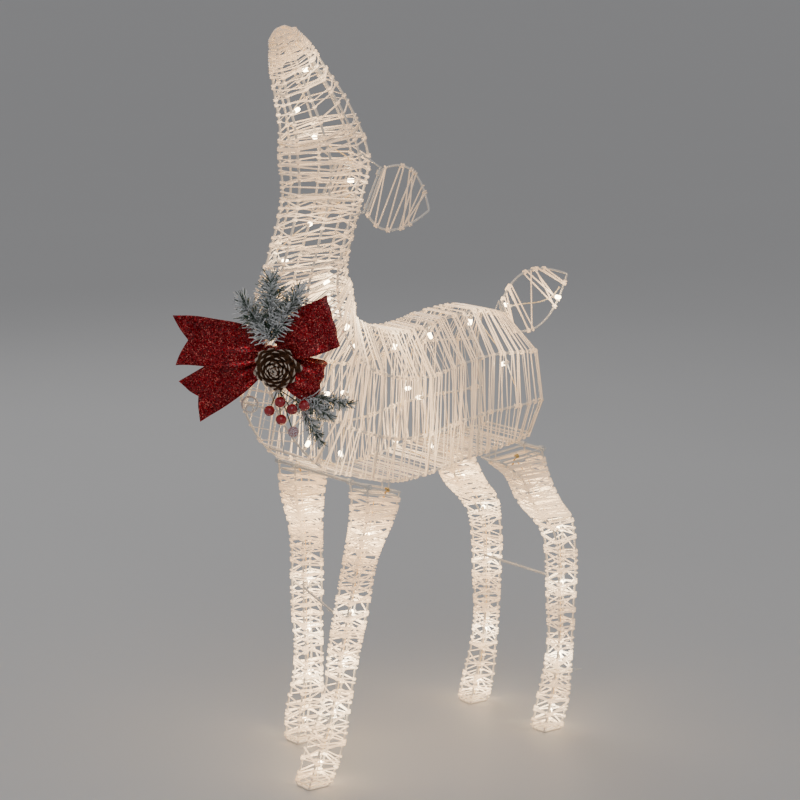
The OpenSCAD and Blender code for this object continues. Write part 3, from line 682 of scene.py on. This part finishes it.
def leg_cage(side_name, pair, side):
    """A leg's four long wires, with hoops welded inside them and a loop at the top and the foot."""
    node = side_name + "_" + pair + "_leg_frame"
    last = len(leg_table(pair)[0]) - 1
    body = pair + "_legs"
    wires = [[leg(pair, side, t, c) for t in np.linspace(0, last, 60)] for c in range(4)]
    inner = (0.3 - 2 * THIN_R) / math.sqrt(2)
    loops = [[leg(pair, side, t, c, inner) for c in range(4)] for t in (0.3, 1, 3, last - 2)]
    loops += [[leg(pair, side, 0, c, -0.3) - np.array((0, 0, 1.1 * MM)) for c in range(4)]]
    loops += [[leg(pair, side, last, c, -0.3) - np.array((0, 0, 0.9 * MM)) for c in range(4)]]
    long_wires = tube(node + "_wires", wires, THIN_R * MM, corners=WIRE_CORNERS)
    finish(long_wires, body, POWDER, (node,))
    rings = tube(node + "_hoops", [rounded_corners(l, 3 * MM) for l in loops], THIN_R * MM, corners=WIRE_CORNERS,
                 closed=True)
    finish(rings, body, POWDER, (node,))
    for piece in (long_wires, rings):
        light_up(piece)


for pair, seed in (("front", 21), ("rear", 31)):
    for side_name, side in (("left", -1), ("right", 1)):
        leg_cage(side_name, pair, side)
        stem = side_name + "_" + pair + "_leg"
        leg_twine(stem + "_winding", stem + "_twine", pair, side, 3.0, 12.5, (1, 2), 4.5, seed + side)
        leg_twine(stem + "_cross_winding", stem + "_twine", pair, side, 17.0, 21.0, (1, 1), 10.0, seed + 5 + side,
                  hand=-1)

# --- The light string: two thin cores twisted together inside the twine ---
# from, to, turns, first wire, steps
BODY_STRING = (0.5, 7.2, 2.6, 5.2, 256)
NECK_STRING = (8.0, 15.2, 2.2, 6.4, 176)
STRING_INSET = 8.0


def string_path(route):
    """A spiral just inside the trunk's wires."""
    start, end, turns, first, steps = route
    path = []
    for f in np.linspace(0, 1, steps + 1):
        t, around = mix(start, end, f), first + 8 * turns * f
        k = int(math.floor(around)) % 8
        p = mix(trunk(t, k), trunk(t, (k + 1) % 8), around - math.floor(around))
        path.append(p + unit(trunk_centre(t) - p) * STRING_INSET * MM)
    return path


LAY = 0.0025


def twisted_pair(name, paths, body, replaced=()):
    """Two thin insulated wires twisted round each other along each path."""
    cores = []
    for path in paths:
        for phase in (0, math.pi):
            core, run, side = [], 0.0, np.array((0.3, 0.2, 0.93))
            for i, p in enumerate(path):
                along = unit(path[min(i + 1, len(path) - 1)] - path[max(i - 1, 0)])
                side = unit(side - along * side.dot(along))
                up = np.cross(along, side)
                run += np.linalg.norm(p - path[max(i - 1, 0)])
                a = phase + run / LAY
                core.append(p + CORE_R * MM * (math.cos(a) * side + math.sin(a) * up))
            cores.append(core)
    obj = tube(name, cores, CORE_R * MM)
    light_up(obj)
    finish(obj, body, STRING, replaced)


def refine(path, step=0.001):
    """The same route with points a millimetre apart."""
    path = np.array(path)
    run = np.concatenate(([0], np.cumsum(np.linalg.norm(np.diff(path, axis=0), axis=1))))
    at = np.arange(0, run[-1], step)
    return list(np.stack([np.interp(at, run, path[:, a]) for a in range(3)], axis=1))


twisted_pair("body_string", [refine(string_path(BODY_STRING))], "body", ("body_light_string",))
twisted_pair("neck_string", [refine(string_path(NECK_STRING))], "body", ("neck_light_string",))


def leg_string(pair):
    last = len(leg_table(pair)[0]) - 0.3
    shift = np.array((-4, -4, 0)) * MM
    paths = [refine([leg_centre(pair, side, t) + shift for t in np.linspace(0.5, last - 1, 40)]) for side in (-1, 1)]
    twisted_pair(pair + "_leg_string", paths, pair + "_legs", (pair + "_leg_light_strings",))


leg_string("front")
leg_string("rear")

# --- Ears and tail: flat loops of wire laced with twine ---
EAR_UP = unit((38, 4, 74))
EAR_OUT = np.array((0.7216, -0.6043, -0.3379))
TAIL_TILT = math.radians(24.8)
FLIP = np.array((1, -1, 1))
LEAVES = {
    # root, outwards, upwards, length, width, width at the root
    "left_ear": (np.array((-76, -46, 713.0)), EAR_OUT, EAR_UP, 72, 70, 56),
    "right_ear": (np.array((-76, 46, 713.0)), EAR_OUT * FLIP, EAR_UP * FLIP, 72, 70, 56),
    "tail": (np.array((168, 0, 530.0)), np.array((math.cos(TAIL_TILT), 0, math.sin(TAIL_TILT))),
             np.array((-math.sin(TAIL_TILT), 0, math.cos(TAIL_TILT))), 114, 68, 40.8),
}
LEAF_START = 3.75


def leaf_point(name, a, b):
    """A point of a flat loop, a out from its root and b across it."""
    root, out, up = LEAVES[name][:3]
    return (root + out * a + up * b) * MM


def leaf_half(name, u):
    """Half the loop's width at share u of its length."""
    width, root_w = LEAVES[name][4:]
    return mix(root_w, 0, u ** 3) / 2 + (width - 0.75 * root_w) / 2 * math.sin(math.pi * u ** 0.8)


def leaf_edge(name, u, edge, grow=0.0):
    length = LEAVES[name][3]
    a = LEAF_START + (length - LEAF_START) * u
    return leaf_point(name, a, edge * (leaf_half(name, u) + grow))


def leaf_frame(name):
    steps = 1 - (1 - np.linspace(0, 0.96, 30)) ** 1.5
    loop = [leaf_edge(name, u, 1) for u in steps] + [leaf_edge(name, u, -1) for u in steps[::-1]]
    obj = tube(name + "_loop", [loop], THIN_R * MM, corners=WIRE_CORNERS, closed=True)
    light_up(obj)
    finish(obj, name, POWDER, (name + "_frame",))


def leaf_lacing(name, strands, seed):
    """Twine laced from edge to edge, in front of and behind the loop by turns."""
    rng = random.Random(seed)
    out, up = LEAVES[name][1:3]
    normal = unit(np.cross(out, up))
    reach = LEG_CLEAR * MM
    path = []
    for i in range(strands):
        u = min(max((i + 0.4) / strands * 0.97 + rng.uniform(-0.19, 0.19), 0.03), 0.93)
        edge = 1 if i % 2 else -1
        at = leaf_edge(name, u, edge)
        along = unit(leaf_edge(name, u + 0.02, edge) - leaf_edge(name, u - 0.02, edge))
        away = unit(np.cross(along, normal))
        away = away if away.dot(up) * edge > 0 else -away
        extra = 360 if rng.random() < 0.75 else 0
        steps = 13 if extra else 5
        for j in range(steps):
            share = j / (steps - 1)
            angle = math.radians(mix(-90, 90 + extra, share)) * edge
            path.append(at + reach * (math.cos(angle) * away + math.sin(angle) * normal)
                        + along * (share - 0.5) * (4.2 if extra else 0.5) * TWINE_R * MM)
    obj = tube(name + "_lacing", [path], TWINE_R * MM)
    light_up(obj)
    finish(obj, name, TWINE, (name + "_twine",))


for leaf_name, strands, seed in (("left_ear", 12, 41), ("right_ear", 12, 42), ("tail", 15, 45)):
    leaf_frame(leaf_name)
    leaf_lacing(leaf_name, strands, seed)
tail_run = [leaf_point("tail", a, b) for a, b in ((5, 2), (10, 6.5), (16, 8), (34, 1), (58, -10), (80, -14), (96, -9))]
twisted_pair("tail_string", [refine([catmull(tail_run, t) for t in np.linspace(0, 6, 40)])], "tail")

# --- The chest spray ---
SPRAY_TURN = math.radians(-42)
SPRAY_RIGHT = np.array((math.cos(SPRAY_TURN), math.sin(SPRAY_TURN), 0))
SPRAY_OUT = np.array((math.sin(SPRAY_TURN), -math.cos(SPRAY_TURN), 0))
SPRAY_UP = np.array((0, 0, 1.0))
SPRAY_AT = trunk(7.9, 4) / MM + SPRAY_RIGHT * 8 + SPRAY_OUT * 19 + np.array((0, 0, 12))


def spray(v):
    return (SPRAY_AT + SPRAY_RIGHT * v[0] + SPRAY_UP * v[1] + SPRAY_OUT * v[2]) * MM


def glitter_ribbon():
    """Deep red sequin glitter: every flake its own tilt and tone, darkened in patches by painted shade; the loops'
    insides are paler, a painted highlight.
    """
    material, tree, shader = new_material("red_glitter")
    link = tree.links.new
    place = add(tree, "ShaderNodeTexCoord")
    flakes = add(tree, "ShaderNodeTexVoronoi", feature="F1")
    flakes.inputs["Scale"].default_value = 900
    link(place.outputs["Object"], flakes.inputs["Vector"])
    random_tone = add(tree, "ShaderNodeSeparateColor")
    link(flakes.outputs["Color"], random_tone.inputs["Color"])
    tone = ramp(tree, [(0.0, (0.09, 0.001, 0.004)), (0.55, (0.34, 0.006, 0.014)), (0.9, (0.62, 0.02, 0.03)),
                       (0.97, (0.95, 0.25, 0.2))])
    link(random_tone.outputs["Red"], tone.inputs["Fac"])
    # Painted shade: a noise darkens the glitter in patches, standing in for shade in the ribbon's folds.
    folds = noise_over(tree, 45)
    shade = add(tree, "ShaderNodeMix", data_type="RGBA", blend_type="MULTIPLY")
    shade.inputs["Factor"].default_value = 0.55
    painted_shade_grey = ramp(tree, [(0.3, (0.45, 0.45, 0.45)), (0.65, (1, 1, 1))])
    link(folds, painted_shade_grey.inputs["Fac"])
    link(tone.outputs["Color"], shade.inputs["A"])
    link(painted_shade_grey.outputs["Color"], shade.inputs["B"])
    # Painted highlight: on the loops' inner faces, marked by the inner attribute, the colour turns to a pale cream
    # where the noise is high.
    inside = add(tree, "ShaderNodeAttribute", attribute_name="inner")
    pale = add(tree, "ShaderNodeMix", data_type="RGBA")
    link(inside.outputs["Fac"], pale.inputs["Factor"])
    link(shade.outputs["Result"], pale.inputs["A"])
    painted_highlight_tone = ramp(tree, [(0.35, (0.3, 0.02, 0.025)), (0.5, (0.6, 0.2, 0.14)), (0.62, (0.85, 0.6, 0.42))])
    link(folds, painted_highlight_tone.inputs["Fac"])
    link(painted_highlight_tone.outputs["Color"], pale.inputs["B"])
    link(pale.outputs["Result"], shader.inputs["Base Color"])
    vary_gloss(tree, shader, random_tone.outputs["Green"], 0.18, 0.55)
    metal = add(tree, "ShaderNodeMath", operation="GREATER_THAN")
    metal.inputs[1].default_value = 0.45
    link(random_tone.outputs["Blue"], metal.inputs[0])
    link(metal.outputs["Value"], shader.inputs["Metallic"])
    add_bump(tree, shader, random_tone.outputs["Red"], 0.9, 0.0008)
    return material


GLITTER = glitter_ribbon()
RIBBON_W = 63.0
RIBBONS = {
    # right, up, outwards, lean in degrees, share of the full width
    "ribbon_upper_tail": ((-7, 4, -3, 0, 0.4), (-26, 6, 1, 2, 0.72), (-48, 8, 6, 3, 0.88), (-71, 10, 5, 2, 0.9),
                          (-95, 11, -1, 0, 0.92), (-114, 11, -2, -2, 0.93)),
    "ribbon_lower_tail": ((-7, -5, -6, -20, 0.4), (-24, -15, -8, -26, 0.66), (-46, -30, -5, -30, 0.78),
                          (-67, -44, -8, -31, 0.83), (-86, -56, -12, -29, 0.84), (-99, -64, -13, -28, 0.85)),
    "ribbon_upper_loop": ((7, 6, 5, 0, 0.4), (22, 16, 17, -6, 0.7), (42, 26, 26, -10, 0.9), (62, 34, 25, -12, 0.96),
                          (75, 38, 13, -12, 0.96), (73, 37, 1, -12, 0.94), (58, 32, -4, -10, 0.85),
                          (38, 23, -3, -6, 0.66), (7, 8, -3, 0, 0.4)),
    "ribbon_lower_loop": ((7, -8, 3, 20, 0.3), (20, -18, 10, 22, 0.5), (36, -28, 15, 22, 0.68),
                          (52, -35, 12, 20, 0.76), (60, -37, 3, 20, 0.78), (52, -34, -6, 20, 0.74),
                          (36, -27, -9, 22, 0.62), (7, -9, -7, 20, 0.3)),
}
NOTCH = 0.17
RIBBON_THICK = 0.0005
EDGE_WIRE_R = 0.0006


def ribbon_piece(name, seed):
    """A wired ribbon, pleated where it is pinched at the knot; tails end in a swallow-tail."""
    table = np.array(RIBBONS[name], float)
    tail = name.endswith("tail")
    rng = random.Random(seed)
    rows, cols = 64, 25
    phase, second = rng.uniform(0, 6.28), rng.uniform(0, 6.28)
    last = len(table) - 1
    grid = np.zeros((rows, cols, 3))
    for i in range(rows):
        for j in range(cols):
            v = j / (cols - 1) * 2 - 1
            reach = 1 - NOTCH * (1 - abs(v)) if tail else 1.0
            t = i / (rows - 1) * last * reach
            s, ahead = catmull(table, t), catmull(table, min(t + 0.05, last)) - catmull(table, max(t - 0.05, 0))
            lean, half = math.radians(s[3]), RIBBON_W / 2 * s[4]
            facing = unit((-ahead[2], 0, ahead[0]))
            pleat = (3.6 * (1 - s[4]) ** 1.1 + 0.5) * math.sin(v * 8.5 + phase)
            wave = 1.5 * s[4] * math.sin(t * 2.6 + second + v * 1.6) * min(1, t, last - t + 0.6 if tail else last - t)
            curl = 1.8 * s[4] * v * v
            grid[i, j] = np.array((s[0] + math.sin(lean) * half * v, s[1] + math.cos(lean) * half * v, s[2])) \
                + facing * (pleat + wave + curl * math.sin(t * 1.7 + phase))
    points = [spray(p) for p in grid.reshape(-1, 3)]
    faces = [(i * cols + j, i * cols + j + 1, (i + 1) * cols + j + 1, (i + 1) * cols + j)
             for i in range(rows - 1) for j in range(cols - 1)]
    obj = mesh_piece(name + "_cloth", points, faces)
    only(obj)
    thick = obj.modifiers.new("cloth", "SOLIDIFY")
    thick.thickness = RIBBON_THICK
    thick.offset = 0
    bpy.ops.object.modifier_apply(modifier="cloth")
    # Mark the faces that point in towards the loop's middle, where the painted highlight goes; tails, the wired edges
    # and the knot get none.
    if not tail:
        obj.data.update()
        middle = spray(np.mean(grid[6:-6].reshape(-1, 3), axis=0))
        inner = []
        for v in obj.data.vertices:
            toward = unit(middle - np.array(v.co))
            inner.append(1.0 if np.dot(toward, np.array(v.normal)) > 0.15 else 0.0)
        paint(obj, "inner", inner)
    else:
        paint(obj, "inner", np.zeros(len(obj.data.vertices)))
    edges = [[spray(p) for p in grid[:, 0]], [spray(p) for p in grid[:, -1]]]
    wires = tube(name + "_wired_edges", edges, EDGE_WIRE_R)
    paint(wires, "inner", np.zeros(len(wires.data.vertices)))
    finish(obj, "body", GLITTER, (name,))
    finish(wires, "body", GLITTER, (name,))


for ribbon_name, seed in (("ribbon_upper_tail", 3), ("ribbon_lower_tail", 8), ("ribbon_upper_loop", 5),
                          ("ribbon_lower_loop", 6)):
    ribbon_piece(ribbon_name, seed)


KNOT_R = 7.0
KNOT_HALF = 7.5


def knot():
    """The ribbon's pinched middle: a barrel with the cloth's folds running round it."""

    def cloth(s, a):
        r = KNOT_R * math.sin(math.pi * mix(0.08, 0.92, s)) ** 0.6
        r *= 1 + 0.08 * math.sin(a * 3 + s * 9) + 0.07 * math.sin(s * 22 + math.sin(a) * 2)
        return spray((mix(-KNOT_HALF, KNOT_HALF, s), r * math.sin(a), -1 + r * math.cos(a)))

    obj = round_piece("knot_wrap", 15, 48, cloth)
    paint(obj, "inner", np.zeros(len(obj.data.vertices)))
    finish(obj, "body", GLITTER, ("ribbon_knot",))


knot()


# --- Pine cone: woody scales set in a spiral, open towards the front ---
CONE_AT = (10, -16, 29)
CONE_D = 58.0
CONE_DEEP = 36.0
SPIRAL_STEP = math.radians(137.508)
CORE_OF_CONE_R = 7.2


def cone_scale_material():
    material, tree, shader = new_material("cone_scales")
    link = tree.links.new
    grain = noise_over(tree, 240, detail=5)
    wood = ramp(tree, [(0.3, (0.05, 0.02, 0.01)), (0.55, (0.17, 0.075, 0.035)), (0.78, (0.32, 0.16, 0.08))])
    link(grain, wood.inputs["Fac"])
    tip = add(tree, "ShaderNodeAttribute", attribute_name="tip")
    wear = add(tree, "ShaderNodeMath", operation="MULTIPLY_ADD")
    wear.inputs[1].default_value = 0.9
    link(grain, wear.inputs[0])
    link(tip.outputs["Fac"], wear.inputs[2])
    pale = ramp(tree, [(0.95, (0, 0, 0)), (1.25 / 1.3, (1, 1, 1))])
    link(wear.outputs["Value"], pale.inputs["Fac"])
    mixed = add(tree, "ShaderNodeMix", data_type="RGBA")
    link(pale.outputs["Color"], mixed.inputs["Factor"])
    link(wood.outputs["Color"], mixed.inputs["A"])
    mixed.inputs["B"].default_value = (0.72, 0.6, 0.5, 1)
    link(mixed.outputs["Result"], shader.inputs["Base Color"])
    vary_gloss(tree, shader, grain, 0.45, 0.75)
    add_bump(tree, shader, grain, 0.5, 0.0008)
    return material


def pine_cone():
    """Scales set in a spiral round a core, each with a raised, worn tip."""
    rng = random.Random(17)
    verts, faces, tips = [], [], []
    count, rows, cols = 60, 8, 9
    for n in range(count):
        f = n / (count - 1)
        angle = n * SPIRAL_STEP + rng.uniform(-0.06, 0.06)
        depth = mix(-CONE_DEEP * 0.36, CONE_DEEP * 0.28, f ** 0.9)
        open_angle = math.radians(mix(100, 34, f ** 1.3) + rng.uniform(-7, 7))
        reach = CONE_D * mix(0.44, 0.16, f ** 1.2) * rng.uniform(0.9, 1.06)
        width = mix(12.5, 6.5, f)
        radial = np.array((math.cos(angle), math.sin(angle), 0))
        across = np.array((-math.sin(angle), math.cos(angle), 0))
        axis = np.array((0, 0, 1.0))
        base = radial * mix(4.2, 1.0, f) + axis * depth
        first = len(verts)
        for layer in (1, -1):
            for i in range(rows):
                s = i / (rows - 1)
                bend = open_angle - 0.5 * s * s
                run = radial * math.sin(bend) + axis * math.cos(bend)
                lift = axis * math.sin(bend) - radial * math.cos(bend)
                w = width / 2 * (0.42 + 0.58 * math.sin(math.pi * min(1.0, 0.06 + s * 0.66))) \
                    * (1.0 if s < 0.8 else math.sqrt(max(0.05, 1 - ((s - 0.8) / 0.21) ** 2)))
                thick = mix(0.9, 2.3, s) * (1 if i < rows - 1 else 0.5)
                for j in range(cols):
                    v = j / (cols - 1) * 2 - 1
                    edge = 1 - abs(v) ** 3 * 0.75
                    p = base + run * reach * s + across * w * v + lift * (layer * thick * edge / 2 + 1.1 * v * v * s)
                    if layer > 0 and s > 0.6:
                        p = p + lift * 0.9 * max(0, 1 - abs(v) * 2.2) * (1 - abs(s - 0.82) / 0.22)
                    verts.append(spray(np.array(CONE_AT) + p))
                    tips.append(max(0.0, (s - 0.7) / 0.3) * (0.8 + 0.2 * rng.random()) * mix(0.9, 0.62, f))
        half = rows * cols

        def at(layer, i, j):
            return first + layer * half + i * cols + j

        for i in range(rows - 1):
            for j in range(cols - 1):
                faces.append((at(0, i, j), at(0, i + 1, j), at(0, i + 1, j + 1), at(0, i, j + 1)))
                faces.append((at(1, i, j), at(1, i, j + 1), at(1, i + 1, j + 1), at(1, i + 1, j)))
        for i in range(rows - 1):
            faces.append((at(0, i, 0), at(1, i, 0), at(1, i + 1, 0), at(0, i + 1, 0)))
            faces.append((at(0, i, cols - 1), at(0, i + 1, cols - 1), at(1, i + 1, cols - 1), at(1, i, cols - 1)))
        for j in range(cols - 1):
            faces.append((at(0, 0, j), at(0, 0, j + 1), at(1, 0, j + 1), at(1, 0, j)))
            faces.append((at(0, rows - 1, j), at(1, rows - 1, j), at(1, rows - 1, j + 1), at(0, rows - 1, j + 1)))
    obj = mesh_piece("cone_scales", verts, faces)
    face_outwards(obj)
    paint(obj, "tip", tips)
    material = cone_scale_material()
    finish(obj, "body", material, ("pine_cone",))

    def heartwood(s, a):
        r = CORE_OF_CONE_R * math.sin(math.pi * mix(0.1, 0.93, s)) ** 0.7
        return spray(np.array(CONE_AT) + (r * math.cos(a), r * math.sin(a),
                                          mix(-CONE_DEEP * 0.47, CONE_DEEP * 0.32, s)))

    heart = round_piece("cone_core", 9, 20, heartwood)
    paint(heart, "tip", np.zeros(len(heart.data.vertices)))
    finish(heart, "body", material, ("pine_cone",))


pine_cone()

# --- Berries and their stems ---
BERRY_R = 6.5
DIMPLE_FROM = 0.93
DIMPLE_DEEP = 1.6
STEMS_FROM = (8, -46, 6)
BERRIES = [(14, -56, 24), (28, -64, 26), (42, -60, 23), (1, -67, 22), (15, -77, 24), (29, -92, 21)]


def berry_material(frosted):
    material, tree, shader = new_material("frosted_berry" if frosted else "lacquered_berry")
    link = tree.links.new
    noise = noise_over(tree, 1100 if frosted else 130, detail=3)
    stops = [(0.42, (0.3, 0.01, 0.02)), (0.56, (0.85, 0.75, 0.78))] if frosted else \
        [(0.3, (0.28, 0.004, 0.012)), (0.7, (0.5, 0.012, 0.02))]
    tone = ramp(tree, stops)
    link(noise, tone.inputs["Fac"])
    link(tone.outputs["Color"], shader.inputs["Base Color"])
    vary_gloss(tree, shader, noise, *((0.5, 0.85) if frosted else (0.08, 0.2)))
    shader.inputs["Coat Weight"].default_value = 0.0 if frosted else 0.8
    shader.inputs["Coat Roughness"].default_value = 0.05
    add_bump(tree, shader, noise, 0.8 if frosted else 0.05, 0.0006)
    return material


def berry_pieces():
    """Round berries, each with a dimple at the end away from its stem."""
    for group, indices, frosted in (("berries_red", range(5), False), ("berry_frosted", (5,), True)):
        parts = []
        for i in indices:
            bpy.ops.object.select_all(action="DESELECT")
            bpy.ops.mesh.primitive_uv_sphere_add(segments=32, ring_count=20, radius=BERRY_R * MM)
            ball = bpy.context.object
            pull = unit(np.array(BERRIES[i]) - np.array(STEMS_FROM))
            direction = SPRAY_RIGHT * pull[0] + SPRAY_UP * pull[1] + SPRAY_OUT * pull[2]
            turn = Vector(direction).to_track_quat("Z", "Y").to_matrix().to_4x4()
            rim = BERRY_R * MM * DIMPLE_FROM
            for v in ball.data.vertices:
                if v.co.z > rim:
                    v.co.z = rim - (v.co.z - rim) * DIMPLE_DEEP
            ball.data.transform(Matrix.Translation(Vector(spray(BERRIES[i]))) @ turn)
            parts.append(ball)
        only(parts[0])
        for ball in parts:
            ball.select_set(True)
        if len(parts) > 1:
            bpy.ops.object.join()
        obj = bpy.context.object
        obj.name = group
        bpy.ops.object.shade_smooth()
        finish(obj, "body", berry_material(frosted), ("berries",))


berry_pieces()

# --- Flocked pine sprigs ---
SPRIGS = {
    # root, the three twigs' tips, needle spread, needles on a twig
    "upper_sprig": ((2, 14, 12), ((-30, 62, 18), (4, 92, 20), (38, 76, 22)), 9, 430),
    "lower_sprig": ((30, -50, 4), ((72, -76, 6), (60, -108, 8), (98, -60, 10)), 6, 300),
}


def needle_material():
    material, tree, shader = new_material("flocked_needles")
    link = tree.links.new
    green = ramp(tree, [(0.3, (0.008, 0.03, 0.014)), (0.7, (0.03, 0.1, 0.035))])
    link(noise_over(tree, 160), green.inputs["Fac"])
    frost = add(tree, "ShaderNodeAttribute", attribute_name="frost")
    mixed = add(tree, "ShaderNodeMix", data_type="RGBA")
    link(frost.outputs["Fac"], mixed.inputs["Factor"])
    link(green.outputs["Color"], mixed.inputs["A"])
    mixed.inputs["B"].default_value = (0.93, 0.94, 0.95, 1)
    link(mixed.outputs["Result"], shader.inputs["Base Color"])
    vary_gloss(tree, shader, frost.outputs["Fac"], 0.35, 0.85)
    return material


NEEDLES = needle_material()


def sprig(name, seed):
    """Three twigs with needles all round them, about half of the needles flocked with snow."""
    rng = random.Random(seed)
    root, tips, spread, needles = SPRIGS[name]
    root = np.array(root, float)
    green_needles, snowy, stems = [], [], []
    for tip in tips:
        tip = np.array(tip, float)
        along = unit(tip - root)
        length = np.linalg.norm(tip - root)
        side = unit(np.cross(along, (0, 0, 1)))
        up = np.cross(side, along)
        stems.append([spray(root + along * length * f) for f in np.linspace(0, 0.97, 8)])
        for _ in range(needles):
            f = rng.uniform(0.0, 1.0) ** 0.8
            a = rng.uniform(0, 2 * math.pi)
            lean = math.radians(rng.uniform(25, 88)) * (1 if f < 0.92 else 0.6)
            out = math.cos(a) * side + math.sin(a) * up
            ahead = unit(along * math.cos(lean) + out * math.sin(lean))
            reach = rng.uniform(1.4, 2.6) * spread * (1 if f < 0.8 else 0.8)
            at = root + along * length * f * 0.95
            droop = np.array((rng.uniform(-1, 1), rng.uniform(-1, 1), rng.uniform(-1, 1))) * 0.12 * reach
            blade = [spray(at + ahead * reach * s + droop * s * s) for s in (0, 0.5, 1.0)]
            (snowy if rng.random() < 0.5 else green_needles).append(blade)
    for label, blades, radius, frost in (("needles", green_needles, 0.36, 0.0), ("flocked", snowy, 0.7, 1.0),
                                         ("stems", stems, 0.9, 0.0)):
        obj = tube(name + "_" + label, blades, radius * MM, corners=0)
        co = points_of(obj)
        patch = np.sin(co[:, 0] * 310) * np.sin(co[:, 1] * 270 + 1) * np.sin(co[:, 2] * 290 + 2)
        paint(obj, "frost", np.clip(frost * 0.95 + patch * (0.9 - 0.35 * frost), 0, 1))
        finish(obj, "body", NEEDLES, (name,))


sprig("upper_sprig", 51)
sprig("lower_sprig", 52)

# --- Gold twist ties where the legs are held up: a few turns of wire and two twisted ends ---


TIE_R = 0.55
TIE_TURNS = 4
TIE_COIL_R = 2.35
TIE_COIL_LONG = 5
TIE_TAIL = 11


def twist_ties(pair, share):
    """On each side, a coil round the leg's top wire and two tails twisted together below it."""
    coils, ends = [], []
    for side, corner, nxt in ((-1, 0, 1), (1, 3, 2)):
        a, b = leg(pair, side, 0, corner), leg(pair, side, 0, nxt)
        at = mix(a, b, share)
        along = unit(b - a)
        up = np.array((0, 0, 1.0))
        out = np.cross(along, up)
        sweep = 2 * math.pi * TIE_TURNS
        coils.append([at + along * (f - 0.5) * TIE_COIL_LONG * MM
                      + TIE_COIL_R * MM * (math.cos(f * sweep) * up + math.sin(f * sweep) * out)
                      for f in np.linspace(0, 1, 91)])
        for phase in (0, math.pi):
            ends.append([at + (out * side * 2.4 - up * 1.2) * MM + (out * side * 0.5 - up) * TIE_TAIL * MM * f
                         + 0.75 * MM * (math.cos(f * 16 + phase) * along + math.sin(f * 16 + phase) * out)
                         for f in np.linspace(0, 1, 40)])
    obj = tube(pair + "_twist_ties", coils + ends, TIE_R * MM)
    finish(obj, pair + "_legs", GOLD, (pair + "_hip_ties",))


twist_ties("front", 0.6)
twist_ties("rear", 0.4)

# --- Floor and light ---


def studio():
    bpy.ops.object.select_all(action="DESELECT")
    bpy.ops.mesh.primitive_plane_add(size=80, location=(0, 0, 0))
    floor = bpy.context.object
    floor.name = "floor"
    material, tree, shader = new_material("pale_floor")
    finish_node = place_group(tree, CLOUDY, Light_tone=(0.72, 0.71, 0.7, 1), Dark_tone=(0.68, 0.67, 0.66, 1),
                              Cloud_size=1.5, Grain_size=220, Smooth=0.45, Rough=0.6)
    tree.links.new(finish_node.outputs["Color"], shader.inputs["Base Color"])
    tree.links.new(finish_node.outputs["Roughness"], shader.inputs["Roughness"])
    floor.data.materials.append(material)
    world = bpy.data.worlds.new("studio")
    bpy.context.scene.world = world
    world.use_nodes = True
    world.node_tree.nodes["Background"].inputs["Color"].default_value = (0.82, 0.83, 0.86, 1)
    world.node_tree.nodes["Background"].inputs["Strength"].default_value = 0.36
    for name, where, power, size in (("key", (-1.6, -2.2, 2.4), 16, 1.6), ("fill", (2.2, -1.4, 1.6), 5, 2.0),
                                     ("rim", (0.6, 2.4, 2.2), 12, 1.6)):
        lamp = bpy.data.objects.new(name, bpy.data.lights.new(name, "AREA"))
        bpy.context.scene.collection.objects.link(lamp)
        lamp.data.energy = power
        lamp.data.size = size
        lamp.location = where
        lamp.rotation_euler = (Vector(where) - Vector((0, 0, 0.45))).to_track_quat("Z", "Y").to_euler()


studio()

# --- The frame's nodes that keep their shape, with their finishes ---
KEPT = {
    POWDER: ("front_hip_rail", "rear_hip_rail", "front_hip_saddles", "rear_hip_saddles", "front_leg_eyes",
             "rear_leg_eyes", "front_cross_bar", "rear_cross_bar", "ear_pins", "tail_pin", "left_ear_eyes",
             "right_ear_eyes", "tail_eyes", "chest_hook"),
    LENS: ("trunk_bulbs", "front_leg_bulbs", "rear_leg_bulbs", "tail_bulbs"),
    CLEAR: ("trunk_bulb_sockets", "front_leg_bulb_sockets", "rear_leg_bulb_sockets", "tail_bulb_sockets"),
    NYLON: ("lead_inlet", "chest_cable_tie", "rear_leg_cable_tie"),
    GREEN_WIRE: ("berry_stems", "spray_tie_wire"),
}
for material, names in KEPT.items():
    for name in names:
        slots = nodes[name].material_slots
        for place in slots:
            place.material = material
        if not len(slots):
            nodes[name].data.materials.append(material)
